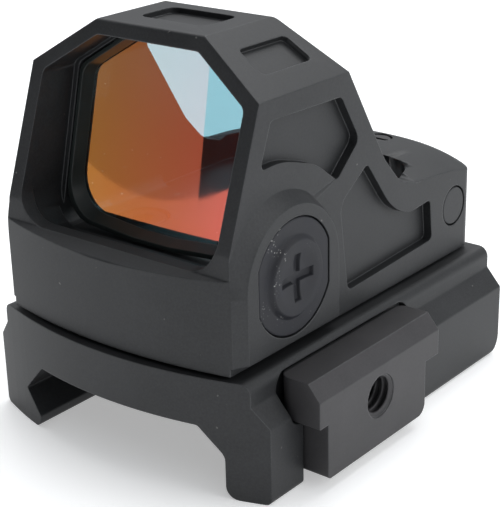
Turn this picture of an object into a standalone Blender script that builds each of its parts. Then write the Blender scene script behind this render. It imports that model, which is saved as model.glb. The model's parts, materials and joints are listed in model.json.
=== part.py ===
"""Compact open reflex sight on a low clamp mount for a 21.2 mm accessory rail.

Frame: +X is the side of the plus button and of the clamp jaw, -Y is the front (the objective side),
+Z is up. The origin lies on the plane of the rail's top face, in the sight's middle plane. The
constants are in millimetres, and every mesh is scaled to metres as it is made.
"""

import math

import bmesh
import bpy
import numpy as np

MM = 0.001

# Fits between neighbours.
GAP = 0.3                       # faces that touch on the real object
SLIDING_GAP = 0.15              # a piece that slides or turns in its hole
FLUSH_GAP = 0.13                # round a flush plug or screw head
OVERCUT = 2.0                   # how far a cutter runs past what it cuts

# Accessory rail, the standard T section that the mount grips.
RAIL_TOP_HALF = 7.835
RAIL_WIDE_HALF = 10.605
RAIL_CLEARANCE = 0.15
SCREW_AXIS_Z = -0.585           # the cross screw lies in the rail's slot

# Sight body, overall.
BODY_HALF_WIDTH = 12.0
BODY_FRONT_Y = -20.56
BODY_LENGTH = 36.56
BODY_REAR_Y = BODY_FRONT_Y + BODY_LENGTH
MOUNT_TOP_Z = 4.2
BODY_BASE_Z = MOUNT_TOP_Z + GAP
BODY_HEIGHT = 24.57
HOOD_TOP_Z = BODY_BASE_Z + BODY_HEIGHT
CHIN_BOW_RADIUS = 51.4
REAR_CORNER_RADIUS = 1.1

# Hood: raked front, eight-sided section, sloping rear edge.
HOOD_FLAT_HALF = 5.68
HOOD_BEVEL_DROP = 3.98
HOOD_BEVEL_Z = HOOD_TOP_Z - HOOD_BEVEL_DROP
SILL_Z = BODY_BASE_Z + 7.4
SILL_RISE = 0.45
SILL_DEPTH = 1.46
HOOD_FOOT_Y = BODY_FRONT_Y + SILL_DEPTH
HOOD_TOP_FRONT_Y = -13.53
HOOD_TOP_REAR_Y = -5.09
ROOF_THICKNESS = 1.17
POST_THICKNESS = 1.3
WALL_THICKNESS = 1.8
FLOOR_Z = BODY_BASE_Z + 6.4
RECESS_LIP_Y = HOOD_FOOT_Y + 1.1

# Lens, leaning back with the hood.
LENS_RAKE = 0.25
LENS_FOOT_Y = -13.1
LENS_THICKNESS = 2.3
LENS_EDGE_GAP = 0.3
LENS_BELLY = 0.6
BEZEL_DEPTH = 1.2
BEZEL_WIDTH = 0.75

# Deck behind the hood.
DECK_FRONT_Y = BODY_REAR_Y - 6.2
DECK_SIDE_Z = BODY_BASE_Z + 8.45
DECK_CORNER_RADIUS = 3.2
CROWN_RISE_FRONT = 0.9
CROWN_RISE_REAR = 1.85
CROWN_POWER = 3.3

# Coin cell and the round chamber that holds it and the board.
CELL_DIAMETER = 20.0
CELL_HEIGHT = 3.2
CELL_BORE_RADIUS = CELL_DIAMETER / 2 + 0.25
CELL_REAR_WALL = 2.15
CELL_Y = BODY_REAR_Y - CELL_REAR_WALL - CELL_BORE_RADIUS
CELL_BOTTOM_Z = BODY_BASE_Z + 0.25
CELL_TOP_Z = CELL_BOTTOM_Z + CELL_HEIGHT
CHAMBER_TOP_Z = FLOOR_Z - 1.1
BOARD_THICKNESS = 0.6
BOARD_TOP_Z = CHAMBER_TOP_Z - GAP
BOARD_EDGE_GAP = 0.5
BOARD_SCREW_RADIUS = 0.5
BOARD_SCREW_X = 7.4
CONTACT_NOTCH = 1.1
GASKET_RADIAL_GAP = 0.35
GASKET_WIDTH = 0.7
GASKET_GROOVE_DEPTH = 0.9

# Buttons, on a raised arch on each side.
BUTTON_RADIUS = 4.83
BUTTON_FLAT_SHARE = 0.925       # the two upright flats, as a share of the radius
BUTTON_Y = -12.05
BUTTON_Z = BODY_BASE_Z + 6.15
BUTTON_GAP = 0.1
BOSS_RIM = 1.15
BOSS_RAISE = 0.9
BOSS_UNDERCUT = 0.7
BOSS_FLANK_SHIFT = (-0.72, 0.3)
BUTTON_BORE_DEPTH = 1.6
PAD_RECESS = 0.05
PAD_THICKNESS = 0.95
DOME_RADIUS = 3.45
DOME_RAISE = 0.42
SYMBOL_ARM = 1.85
SYMBOL_HALF_WIDTH = 0.4
SYMBOL_DEPTH = 0.32
KEY_TRAVEL = 0.4
PLUNGER_RADIUS = 0.75
SWITCH_Z = BUTTON_Z - 2.6
SWITCH_HALF = 1.6
SWITCH_HEIGHT = 0.75
SWITCH_POCKET_HALF = SWITCH_HALF + 0.35
SWITCH_POCKET_DEPTH = 2.0
WIRE_CHANNEL_RADIUS = 0.6

# Shallow pockets in the walls, the roof and the bevels.
POCKET_DEPTH = 0.85
ROOF_POCKET_DEPTH = 0.5

# Side plug, adjusting screws and the emitter behind the deck's front wall.
PLUG_RADIUS = 1.77
PLUG_DEPTH = 1.6
ADJUSTER_Y = BODY_REAR_Y - 3.05
ADJUSTER_Z = BODY_BASE_Z + 4.55
SPINDLE_RADIUS = 0.75
CARRIAGE_HALF = 3.7
CHEEK_THICKNESS = 1.7
ROCKER_HALF = 1.6
ROCKER_TAIL_TOP_Z = ADJUSTER_Z + 1.85
ROCKER_TAIL_LOW_Z = ADJUSTER_Z + 1.15
ROCKER_ARM_TOP_Z = ADJUSTER_Z + 3.05
ROCKER_FRONT_Y = ADJUSTER_Y - 1.6
ROCKER_REAR_Y = ADJUSTER_Y + 1.6
EMITTER_ROOM_HALF = 5.6
EMITTER_ROOM_TOP_Z = FLOOR_Z + 1.55
ELEVATION_X = 2.9
ELEVATION_Y = BODY_REAR_Y - 1.95
ELEVATION_RADIUS = 1.25
WINDOW_HALF_WIDTH = 2.5
WINDOW_HEIGHT = 1.3
WINDOW_LOW_Z = FLOOR_Z + 0.15

# Screws and pins between sight and mount.
MOUNTING_X = 5.8
MOUNTING_Y = -9.4
MOUNTING_RADIUS = 1.45
MOUNTING_HEAD_RADIUS = 2.3
MOUNTING_HEAD_HEIGHT = 1.5
PIN_RADIUS = 1.25
PIN_Y = BODY_REAR_Y - 2.4
PIN_INSET = 2.7

# Mount base.
BASE_FRONT_Y = BODY_FRONT_Y - 0.72
BASE_REAR_Y = BODY_REAR_Y + 0.54
BASE_BOW_RADIUS = 40.1
SHOULDER_HALF = BODY_HALF_WIDTH + 1.7
LEG_HALF = BODY_HALF_WIDTH + 3.16
SHOULDER_RADIUS = 1.1
SHOULDER_FOOT_Z = 2.26
LEG_TOP_Z = SHOULDER_FOOT_Z - (LEG_HALF - SHOULDER_HALF) * 1.14
BASE_BOTTOM_Z = -6.07
HOOK_DEPTH = 2.05
HOOK_TIP_RADIUS = 1.0
LEG_INNER_RADIUS = 1.1
LEG_REAR_RADIUS = 1.8

# Clamp jaw, cross screw and washer.
JAW_Y = -6.68
JAW_FACE_X = LEG_HALF + 2.26
JAW_TOP_Z = 3.5
JAW_BEVEL_X = 1.13
JAW_BEVEL_Z = 1.36
JAW_WIDE_FRONT_Y = JAW_Y - 8.32
JAW_WIDE_REAR_Y = JAW_Y + 8.72
JAW_NARROW_FRONT_Y = JAW_Y - 7.24
JAW_NARROW_REAR_Y = JAW_Y + 6.74
JAW_POCKET_MARGIN = 0.75
JAW_STEP_Z = -0.12
JAW_LEDGE_Z = 0.2
JAW_BOTTOM_Z = -4.985
JAW_REAR_CORNER_RADIUS = 1.0
JAW_FRONT_CORNER_RADIUS = 0.3
JAW_INNER_RADIUS = 1.2
POCKET_WALL_X = SHOULDER_HALF - 0.75
SCREW_RADIUS = 1.85
SCREW_HEAD_RADIUS = 3.6
SCREW_HEAD_HEIGHT = 2.4
WASHER_THICKNESS = 0.55
WASHER_RADIUS = 4.1

ROUND = 40                      # sides of a large circle
SMALL_ROUND = 24                # sides of a small one


# ---------------------------------------------------------------- outlines


def rounded(corners, steps=6):
    """Outline of (a, b, radius) corners with each one turned into an arc of that radius."""
    outline = []
    count = len(corners)
    for index, (a, b, radius) in enumerate(corners):
        here = np.array([a, b])
        before = np.array(corners[index - 1][:2]) - here
        after = np.array(corners[(index + 1) % count][:2]) - here
        if radius <= 0:
            outline.append((a, b))
            continue
        long_before, long_after = np.linalg.norm(before), np.linalg.norm(after)
        before, after = before / long_before, after / long_after
        opening = math.acos(float(np.clip(before @ after, -1, 1)))
        reach = min(radius / math.tan(opening / 2), 0.48 * long_before, 0.48 * long_after)
        radius = reach * math.tan(opening / 2)
        middle = (before + after) / np.linalg.norm(before + after)
        centre = here + middle * radius / math.sin(opening / 2)
        start = here + before * reach - centre
        end = here + after * reach - centre
        first = math.atan2(start[1], start[0])
        sweep = (math.atan2(end[1], end[0]) - first + math.pi) % (2 * math.pi) - math.pi
        for step in range(steps + 1):
            angle = first + sweep * step / steps
            outline.append((centre[0] + radius * math.cos(angle), centre[1] + radius * math.sin(angle)))
    return outline


def circle(radius, centre=(0.0, 0.0), sides=ROUND):
    """Outline of a circle, starting at its +a side."""
    turns = [2 * math.pi * index / sides for index in range(sides)]
    return [(centre[0] + radius * math.cos(t), centre[1] + radius * math.sin(t)) for t in turns]


def flatted_circle(radius, flat, centre, sides=48):
    """Circle cut by two upright flats at +-flat from its centre."""
    return [
        (centre[0] + max(-flat, min(flat, a)), centre[1] + b)
        for a, b in circle(radius, sides=sides)
    ]


def arch(radius, centre, foot, steps=32):
    """Half circle on two legs that run down to foot."""
    turns = [math.pi * index / steps for index in range(steps + 1)]
    top = [(centre[0] + radius * math.cos(t), centre[1] + radius * math.sin(t)) for t in turns]
    return top + [(centre[0] - radius, foot), (centre[0] + radius, foot)]


def bowed_plan(half_width, front, rear, bow_radius, rear_radius, steps=40):
    """Plan outline with a front bowed forwards in the middle and rounded rear corners."""
    bow = []
    for index in range(steps + 1):
        x = half_width * (2 * index / steps - 1)
        bow.append((x, front + bow_radius - math.sqrt(bow_radius**2 - x**2)))
    sides = rounded(
        [
            (half_width, 0, 0),
            (half_width, rear, rear_radius),
            (-half_width, rear, rear_radius),
            (-half_width, 0, 0),
        ]
    )
    return bow + sides


def hood_section(half_width, low, high, inset, bottom_radius, corner_radius=0.8, belly=0.0):
    """Eight-sided section of the hood's inside, round at the bottom, which sags by belly in the middle."""
    slope = HOOD_BEVEL_DROP / (BODY_HALF_WIDTH - HOOD_FLAT_HALF)
    shift = inset * math.hypot(1, slope)
    bevel_z = HOOD_BEVEL_Z + (BODY_HALF_WIDTH - half_width) * slope - shift
    flat = BODY_HALF_WIDTH - (high + shift - HOOD_BEVEL_Z) / slope
    corners = [
        (half_width, low + belly, bottom_radius),
        (half_width, bevel_z, corner_radius),
        (flat, high, corner_radius),
        (-flat, high, corner_radius),
        (-half_width, bevel_z, corner_radius),
        (-half_width, low + belly, bottom_radius),
    ]
    if belly > 0:
        corners += [(-0.2 * half_width, low, 3 * bottom_radius), (0.2 * half_width, low, 3 * bottom_radius)]
    return rounded(corners, steps=8)


# ---------------------------------------------------------------- solids


def place(axis, along, a, b):
    """Point in metres for outline coordinates (a, b) at a distance along the axis."""
    spots = {"X": (along, a, b), "Y": (a, along, b), "Z": (a, b, along)}
    return [value * MM for value in spots[axis]]


def finish_mesh(name, bm):
    """Turns a bmesh into a linked object with its normals outwards and round sides smooth."""
    bmesh.ops.recalc_face_normals(bm, faces=bm.faces)
    mesh = bpy.data.meshes.new(name)
    bm.to_mesh(mesh)
    bm.free()
    mesh.shade_smooth()
    mesh.set_sharp_from_angle(angle=math.radians(30))
    thing = bpy.data.objects.new(name, mesh)
    bpy.context.scene.collection.objects.link(thing)
    return thing


def loft(name, loops):
    """Closed solid through loops of equal length, with a cap on the first and the last."""
    bm = bmesh.new()
    rings = [[bm.verts.new(point) for point in loop] for loop in loops]
    for lower, upper in zip(rings, rings[1:]):
        for index in range(len(lower)):
            after = (index + 1) % len(lower)
            bm.faces.new((lower[index], lower[after], upper[after], upper[index]))
    bm.faces.new(rings[0])
    bm.faces.new(rings[-1])
    return finish_mesh(name, bm)


def prism(name, outline, axis, low, high, rake=0.0, rake_from=0.0):
    """Outline extruded along an axis. A rake leans the ends back with height, for Y prisms."""

    def loop(along):
        return [place(axis, along + rake * (b - rake_from), a, b) for a, b in outline]

    return loft(name, [loop(low), loop(high)])


def turned(name, profile, axis, centre, sides=SMALL_ROUND):
    """Solid of revolution from (radius, along) pairs, about an axis through centre."""
    loops = []
    for radius, along in profile:
        loops.append([place(axis, along, a, b) for a, b in circle(radius, centre, sides)])
    return loft(name, loops)


def ring(name, outer, inner, axis, low, high):
    """Flat or conical ring between two outlines of equal length."""
    loops = [
        [place(axis, low, a, b) for a, b in outer],
        [place(axis, high, a, b) for a, b in outer],
        [place(axis, high, a, b) for a, b in inner],
        [place(axis, low, a, b) for a, b in inner],
    ]
    return hollow(name, loops)


def hollow(name, loops):
    """Closed solid whose loops run round a hole, so that the last joins the first."""
    bm = bmesh.new()
    rings = [[bm.verts.new(point) for point in loop] for loop in loops]
    for lower, upper in zip(rings, rings[1:] + rings[:1]):
        for index in range(len(lower)):
            after = (index + 1) % len(lower)
            bm.faces.new((lower[index], lower[after], upper[after], upper[index]))
    return finish_mesh(name, bm)


def boolean(target, tool, operation):
    """Adds a live Boolean and hides its tool."""
    step = target.modifiers.new(tool.name, "BOOLEAN")
    step.operation = operation
    step.solver = "EXACT"
    step.object = tool
    tool.hide_render = True
    tool.display_type = "WIRE"


def cut(target, tool):
    """Takes the tool's volume away."""
    boolean(target, tool, "DIFFERENCE")


def join(target, tool):
    """Adds the tool's volume."""
    boolean(target, tool, "UNION")


def finish(thing, colour, roughness, metallic):
    """Gives the piece a material of its own."""
    material = bpy.data.materials.new(thing.name + "_finish")
    material.use_nodes = True
    shader = material.node_tree.nodes["Principled BSDF"]
    shader.inputs["Base Color"].default_value = (*colour, 1)
    shader.inputs["Roughness"].default_value = roughness
    shader.inputs["Metallic"].default_value = metallic
    thing.data.materials.append(material)
    return thing


def set_origin(thing, x, y, z):
    """Moves the object's origin to a point on its joint's axis, leaving the shape in place."""
    offset = np.array([x, y, z]) * MM
    for vertex in thing.data.vertices:
        vertex.co = np.array(vertex.co) - offset
    thing.location = offset


ANODISED = ((0.028, 0.030, 0.032), 0.55, 0.6)
STEEL = ((0.08, 0.08, 0.085), 0.35, 1.0)
BRIGHT_STEEL = ((0.55, 0.55, 0.56), 0.3, 1.0)
RUBBER = ((0.018, 0.019, 0.025), 0.6, 0.0)


# ---------------------------------------------------------------- housing


def side_profile():
    """Side outline of hood, walls and deck as (y, z), with the deck left high for the crown cut."""
    slope = rounded(
        [
            (HOOD_TOP_REAR_Y, HOOD_TOP_Z, 0.5),
            (HOOD_TOP_REAR_Y + 1.5, HOOD_BEVEL_Z, 0),
            (HOOD_TOP_REAR_Y + 6.7, FLOOR_Z + 5.55, 6.0),
            (HOOD_TOP_REAR_Y + 9.1, DECK_SIDE_Z + 0.9, 3.5),
            (DECK_FRONT_Y - 3.3, DECK_SIDE_Z + 0.08, 1.5),
            (DECK_FRONT_Y - 2.6, DECK_SIDE_Z + 0.4, 0),
            (DECK_FRONT_Y - 2.6, DECK_SIDE_Z + CROWN_RISE_REAR, 0),
            (BODY_REAR_Y + OVERCUT, DECK_SIDE_Z + CROWN_RISE_REAR, 0),
            (BODY_REAR_Y + OVERCUT, BODY_BASE_Z, 0),
            (BODY_FRONT_Y, BODY_BASE_Z, 0),
            (BODY_FRONT_Y, SILL_Z, 0.25),
            (HOOD_FOOT_Y, SILL_Z + SILL_RISE, 0.2),
            (HOOD_FOOT_Y + 0.25, SILL_Z + 2.3, 2.0),
            (HOOD_TOP_FRONT_Y, HOOD_TOP_Z, 0.3),
        ]
    )
    return slope


def crown_cutter():
    """Everything above the deck: the surface is highest in the middle and falls towards the rear."""
    spans = [
        (DECK_FRONT_Y - 3.3, 0.08, CROWN_RISE_FRONT),
        (DECK_FRONT_Y, -0.12, CROWN_RISE_FRONT + 0.1),
        (DECK_FRONT_Y + 3.15, -0.48, 1.35),
        (DECK_FRONT_Y + 5.7, -1.15, CROWN_RISE_REAR),
        (BODY_REAR_Y + OVERCUT + 1, -2.0, CROWN_RISE_REAR),
    ]
    half = BODY_HALF_WIDTH + OVERCUT
    across = [half * (index / 18 - 1) for index in range(37)]
    loops = []
    for y, drop, rise in spans:
        side = DECK_SIDE_Z + drop
        surface = [
            (x, side + rise * (1 - min(abs(x) / BODY_HALF_WIDTH, 1.15) ** CROWN_POWER)) for x in across
        ]
        outline = surface + [(half, HOOD_TOP_Z), (-half, HOOD_TOP_Z)]
        loops.append([place("Y", y, a, b) for a, b in outline])
    return loft("crown_cutter", loops)


def boss(side):
    """Raised arch round a button: a sloped flank at the top and front, upright at the rear."""
    foot = BODY_BASE_Z + BOSS_UNDERCUT
    face_radius = BUTTON_RADIUS + BOSS_RIM
    shift_y, shift_z = BOSS_FLANK_SHIFT
    base_radius = face_radius + math.hypot(shift_y, shift_z)
    face = arch(face_radius, (BUTTON_Y, BUTTON_Z), foot)
    base = arch(base_radius, (BUTTON_Y + shift_y, BUTTON_Z + shift_z), foot)
    sunk = BODY_HALF_WIDTH - 1.0
    surface = BODY_HALF_WIDTH
    raised = surface + BOSS_RAISE
    loops = [
        [place("X", side * sunk, a, b) for a, b in base],
        [place("X", side * surface, a, b) for a, b in base],
        [place("X", side * (raised - 0.12), a, b) for a, b in face],
        [place("X", side * raised, a, b) for a, b in arch(face_radius - 0.12, (BUTTON_Y, BUTTON_Z), foot)],
    ]
    name = "boss_left" if side > 0 else "boss_right"
    solid = loft(name, loops)
    bow = []
    for index in range(9):
        x = BODY_HALF_WIDTH - 3 + index
        bow.append((side * x, BODY_FRONT_Y + CHIN_BOW_RADIUS - math.sqrt(CHIN_BOW_RADIUS**2 - x**2)))
    outside = bow + [(bow[-1][0], BODY_FRONT_Y - 3), (bow[0][0], BODY_FRONT_Y - 3)]
    cut(solid, prism(name + "_front_cutter", outside, "Z", 0, HOOD_TOP_Z))
    ends = sorted((side * (sunk - OVERCUT), side * (raised + OVERCUT)))
    boolean(solid, prism(name + "_rake_limit", side_profile(), "X", *ends), "INTERSECT")
    return solid


def side_pockets(side):
    """The two shallow pockets milled into one side of the housing."""
    upper = rounded(
        [
            (HOOD_TOP_FRONT_Y - 0.1, HOOD_BEVEL_Z - 1.6, 0.5),
            (HOOD_TOP_REAR_Y + 0.5, HOOD_BEVEL_Z - 1.8, 0.7),
            (HOOD_TOP_REAR_Y + 3.0, HOOD_BEVEL_Z - 5.9, 0.9),
            (HOOD_TOP_REAR_Y - 0.1, HOOD_BEVEL_Z - 8.6, 0.5),
            (HOOD_TOP_REAR_Y - 3.0, HOOD_BEVEL_Z - 6.4, 6.0),
            (HOOD_TOP_REAR_Y - 7.2, HOOD_BEVEL_Z - 5.1, 8.0),
            (HOOD_TOP_FRONT_Y - 1.5, HOOD_BEVEL_Z - 5.2, 0.4),
        ]
    )
    boss_rear = BUTTON_Y + BUTTON_RADIUS + BOSS_RIM
    rear = rounded(
        [
            (boss_rear + 5.1, FLOOR_Z + 5.9, 0.5),
            (boss_rear + 8.7, FLOOR_Z + 1.1, 8.0),
            (boss_rear + 11.3, FLOOR_Z - 0.4, 4.0),
            (DECK_FRONT_Y - 0.9, FLOOR_Z - 0.1, 0.45),
            (DECK_FRONT_Y - 0.45, BODY_BASE_Z + 2.4, 0.5),
            (boss_rear + 2.35, BODY_BASE_Z + 1.85, 0.7),
            (boss_rear + 1.3, FLOOR_Z + 3.4, 1.6),
        ]
    )
    floor = BODY_HALF_WIDTH - POCKET_DEPTH
    outer = BODY_HALF_WIDTH + OVERCUT
    for kind, outline in (("upper", upper), ("rear", rear)):
        low, high = sorted((side * floor, side * outer))
        yield prism(f"{kind}_pocket_{'left' if side > 0 else 'right'}", outline, "X", low, high)


def roof_pockets():
    """The shallow pockets in the roof and in both bevels."""
    mid = (HOOD_TOP_FRONT_Y + HOOD_TOP_REAR_Y) / 2 + 0.4
    plan = rounded([(a, mid + b, 0.9) for a, b in ((3.55, -2.1), (3.55, 2.1), (-3.55, 2.1), (-3.55, -2.1))])
    yield prism("roof_pocket", plan, "Z", HOOD_TOP_Z - ROOF_POCKET_DEPTH, HOOD_TOP_Z + OVERCUT)
    run = BODY_HALF_WIDTH - HOOD_FLAT_HALF
    slope_length = math.hypot(run, HOOD_BEVEL_DROP)
    down = np.array([run, -HOOD_BEVEL_DROP]) / slope_length
    out = np.array([HOOD_BEVEL_DROP, run]) / slope_length
    plan = rounded([(a, mid + b, 0.5) for a, b in ((2.15, -2.9), (2.15, 2.9), (5.2, 3.1), (5.2, -3.1))])
    for side in (1, -1):
        loops = []
        for depth in (-ROOF_POCKET_DEPTH, OVERCUT):
            loop = []
            for along, y in plan:
                x, z = np.array([HOOD_FLAT_HALF, HOOD_TOP_Z]) + down * along + out * depth
                loop.append(place("Y", y, side * x, z))
            loops.append(loop)
        yield loft(f"bevel_pocket_{'left' if side > 0 else 'right'}", loops)


def opening_cutters():
    """The front opening, the recess behind its sill, the lens tunnel and the well behind it."""
    post = BODY_HALF_WIDTH - POST_THICKNESS
    wall = BODY_HALF_WIDTH - WALL_THICKNESS
    roof = HOOD_TOP_Z - ROOF_THICKNESS
    front = hood_section(post, SILL_Z + SILL_RISE + 0.02, roof, ROOF_THICKNESS, 2.8)
    shelf = LENS_FOOT_Y - BEZEL_DEPTH - GAP
    yield prism("front_opening", front, "Y", BODY_FRONT_Y - 3 * OVERCUT, shelf - 0.5, LENS_RAKE, SILL_Z)
    recess = hood_section(post, SILL_Z - 0.75, roof, ROOF_THICKNESS, 3.2)
    yield prism("lens_recess", recess, "Y", RECESS_LIP_Y, shelf, LENS_RAKE, SILL_Z)
    tunnel = hood_section(wall, FLOOR_Z, roof - 0.3, ROOF_THICKNESS + 0.35, 1.2)
    yield prism("lens_tunnel", tunnel, "Y", shelf - 0.5, LENS_FOOT_Y + 12.0, LENS_RAKE, SILL_Z)
    well = rounded(
        [
            (wall, HOOD_TOP_REAR_Y + 3.0, 0),
            (wall, DECK_FRONT_Y, DECK_CORNER_RADIUS),
            (-wall, DECK_FRONT_Y, DECK_CORNER_RADIUS),
            (-wall, HOOD_TOP_REAR_Y + 3.0, 0),
        ],
        steps=6,
    )
    yield prism("deck_well", well, "Z", FLOOR_Z, HOOD_TOP_Z + OVERCUT)


def chamber_cutters():
    """Cell chamber, emitter room, contact notch and the bores of screws and pins."""
    yield turned(
        "cell_chamber",
        [(CELL_BORE_RADIUS, BODY_BASE_Z - OVERCUT), (CELL_BORE_RADIUS, CHAMBER_TOP_Z)],
        "Z",
        (0, CELL_Y),
        ROUND,
    )
    room_front = DECK_FRONT_Y + 0.85
    room_rear = BODY_REAR_Y - 1.0
    half = EMITTER_ROOM_HALF
    plan = rounded(
        [(half, room_front, 0.4), (half, room_rear, 0.4), (-half, room_rear, 0.4), (-half, room_front, 0.4)]
    )
    yield prism("emitter_room", plan, "Z", CELL_TOP_Z, EMITTER_ROOM_TOP_Z)
    window = rounded(
        [
            (WINDOW_HALF_WIDTH, WINDOW_LOW_Z, 0.3),
            (WINDOW_HALF_WIDTH, WINDOW_LOW_Z + WINDOW_HEIGHT, 0.3),
            (-WINDOW_HALF_WIDTH, WINDOW_LOW_Z + WINDOW_HEIGHT, 0.3),
            (-WINDOW_HALF_WIDTH, WINDOW_LOW_Z, 0.3),
        ]
    )
    yield prism("window_bore", window, "Y", DECK_FRONT_Y - 0.6, room_front + 0.5)
    notch_front = CELL_Y - CELL_BORE_RADIUS - CONTACT_NOTCH
    notch = [(2.4, notch_front), (2.4, CELL_Y), (-2.4, CELL_Y), (-2.4, notch_front)]
    yield prism("contact_notch", notch, "Z", BODY_BASE_Z - OVERCUT, CHAMBER_TOP_Z)
    for side in (1, -1):
        hand = "left" if side > 0 else "right"
        yield mounting_bore(f"mounting_bore_{hand}", side)
        hole = PIN_RADIUS + SLIDING_GAP
        profile = [(hole, BODY_BASE_Z - OVERCUT), (hole, BODY_BASE_Z + 2.2)]
        spot = (side * (BODY_HALF_WIDTH - PIN_INSET), PIN_Y)
        yield turned(f"pin_socket_{hand}", profile, "Z", spot)
        hole = BOARD_SCREW_RADIUS + SLIDING_GAP
        profile = [(hole, CHAMBER_TOP_Z - OVERCUT / 2), (hole, FLOOR_Z - 0.35)]
        spot = (side * BOARD_SCREW_X, CELL_Y)
        yield turned(f"board_screw_hole_{hand}", profile, "Z", spot, 12)


def mounting_bore(name, side):
    """Clearance bore with a counterbore for one mounting screw."""
    shank = MOUNTING_RADIUS + SLIDING_GAP
    head = MOUNTING_HEAD_RADIUS + SLIDING_GAP
    seat = FLOOR_Z - MOUNTING_HEAD_HEIGHT - GAP
    profile = [(shank, BODY_BASE_Z - OVERCUT), (shank, seat), (head, seat), (head, FLOOR_Z + 0.5)]
    return turned(name, profile, "Z", (side * MOUNTING_X, MOUNTING_Y))


def button_outline(grow=0.0):
    """Round outline with two upright flats, as (y, z)."""
    radius = BUTTON_RADIUS + grow
    flat = BUTTON_RADIUS * BUTTON_FLAT_SHARE + grow
    return flatted_circle(radius, flat, (BUTTON_Y, BUTTON_Z))


def switch_outline(half):
    """Rounded square round a switch's centre, as (y, z)."""
    corners = ((1, -1), (1, 1), (-1, 1), (-1, -1))
    return rounded([(BUTTON_Y + a * half, SWITCH_Z + b * half, 0.3) for a, b in corners])


def side_cutters():
    """Button bores with their switch pockets and wire ways, the plug, windage and elevation bores."""
    for side in (1, -1):
        hand = "left" if side > 0 else "right"
        outer = BODY_HALF_WIDTH + BOSS_RAISE
        ends = sorted((side * (outer - BUTTON_BORE_DEPTH), side * (outer + OVERCUT)))
        yield prism(f"button_bore_{hand}", button_outline(BUTTON_GAP), "X", *ends)
        floor = outer - BUTTON_BORE_DEPTH
        ends = sorted((side * (floor - SWITCH_POCKET_DEPTH), side * (floor + 0.4)))
        yield prism(f"switch_pocket_{hand}", switch_outline(SWITCH_POCKET_HALF), "X", *ends)
    reach = BODY_HALF_WIDTH + BOSS_RAISE - BUTTON_BORE_DEPTH - SWITCH_POCKET_DEPTH + 0.3
    profile = [(WIRE_CHANNEL_RADIUS, -reach), (WIRE_CHANNEL_RADIUS, reach)]
    yield turned("wire_channel", profile, "X", (BUTTON_Y, SWITCH_Z), 12)
    profile = [(WIRE_CHANNEL_RADIUS, BUTTON_Y), (WIRE_CHANNEL_RADIUS, CELL_Y - CELL_BORE_RADIUS)]
    yield turned("board_channel", profile, "Y", (0, SWITCH_Z), 12)
    spindle_bore = SPINDLE_RADIUS + SLIDING_GAP
    plug_bore = PLUG_RADIUS + FLUSH_GAP
    inner = BODY_HALF_WIDTH - PLUG_DEPTH - GAP
    profile = [
        (plug_bore, -BODY_HALF_WIDTH - OVERCUT),
        (plug_bore, -inner),
        (spindle_bore, -inner),
        (spindle_bore, inner),
        (plug_bore, inner),
        (plug_bore, BODY_HALF_WIDTH + OVERCUT),
    ]
    yield turned("spindle_bore", profile, "X", (ADJUSTER_Y, ADJUSTER_Z))
    bore = ELEVATION_RADIUS + FLUSH_GAP
    yield turned(
        "elevation_bore",
        [(bore, EMITTER_ROOM_TOP_Z - 0.5), (bore, HOOD_TOP_Z)],
        "Z",
        (ELEVATION_X, ELEVATION_Y),
    )


def housing():
    """Machined housing: hood, walls, deck, bosses and every pocket and bore."""
    half = BODY_HALF_WIDTH + OVERCUT
    body = prism("sight_housing", side_profile(), "X", -half, half)
    plan = bowed_plan(BODY_HALF_WIDTH, BODY_FRONT_Y, BODY_REAR_Y, CHIN_BOW_RADIUS, REAR_CORNER_RADIUS)
    boolean(body, prism("plan_limit", plan, "Z", BODY_BASE_Z - OVERCUT, HOOD_TOP_Z + OVERCUT), "INTERSECT")
    for side in (1, -1):
        rise = HOOD_BEVEL_DROP / (BODY_HALF_WIDTH - HOOD_FLAT_HALF)
        corner = [
            (side * (HOOD_FLAT_HALF - 2.0), HOOD_TOP_Z + 2.0 * rise),
            (side * (BODY_HALF_WIDTH + 2.0), HOOD_BEVEL_Z - 2.0 * rise),
            (side * (BODY_HALF_WIDTH + 2.0), HOOD_TOP_Z + 2.0 * rise),
        ]
        hand = "left" if side > 0 else "right"
        cut(body, prism(f"hood_bevel_{hand}", corner, "Y", BODY_FRONT_Y - OVERCUT, BODY_REAR_Y + OVERCUT))
    cut(body, crown_cutter())
    for side in (1, -1):
        join(body, boss(side))
    for side in (1, -1):
        for cutter in side_pockets(side):
            cut(body, cutter)
    for group in (roof_pockets(), opening_cutters(), chamber_cutters(), side_cutters()):
        for cutter in group:
            cut(body, cutter)
    return finish(body, *ANODISED)


# ---------------------------------------------------------------- optics


def lens_outline(shrink):
    """Outline of the lens inside the tunnel, drawn in by shrink all round."""
    wall = BODY_HALF_WIDTH - WALL_THICKNESS
    high = HOOD_TOP_Z - ROOF_THICKNESS - 0.3 - shrink
    inset = ROOF_THICKNESS + 0.35 + shrink
    return hood_section(wall - shrink, SILL_Z - 0.95 + shrink, high, inset, 3.4, 1.4, LENS_BELLY)


def lens():
    """Combiner lens: a thick plate that leans back with the hood."""
    outline = lens_outline(LENS_EDGE_GAP)
    plate = prism("lens", outline, "Y", LENS_FOOT_Y, LENS_FOOT_Y + LENS_THICKNESS, LENS_RAKE, SILL_Z)
    finish(plate, (0.75, 0.35, 0.15), 0.05, 0.0)


def lens_bezel():
    """Black ring in front of the lens, with a conical inner face."""
    outer = lens_outline(0.2)
    mouth = lens_outline(0.55)
    throat = lens_outline(BEZEL_WIDTH + 0.15)

    def loop(outline, along):
        return [place("Y", along + LENS_RAKE * (z - SILL_Z), x, z) for x, z in outline]

    front = LENS_FOOT_Y - BEZEL_DEPTH - GAP
    back = LENS_FOOT_Y - GAP
    loops = [loop(outer, front), loop(outer, back), loop(throat, back), loop(mouth, front)]
    finish(hollow("lens_bezel", loops), (0.02, 0.022, 0.022), 0.45, 0.0)


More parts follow.
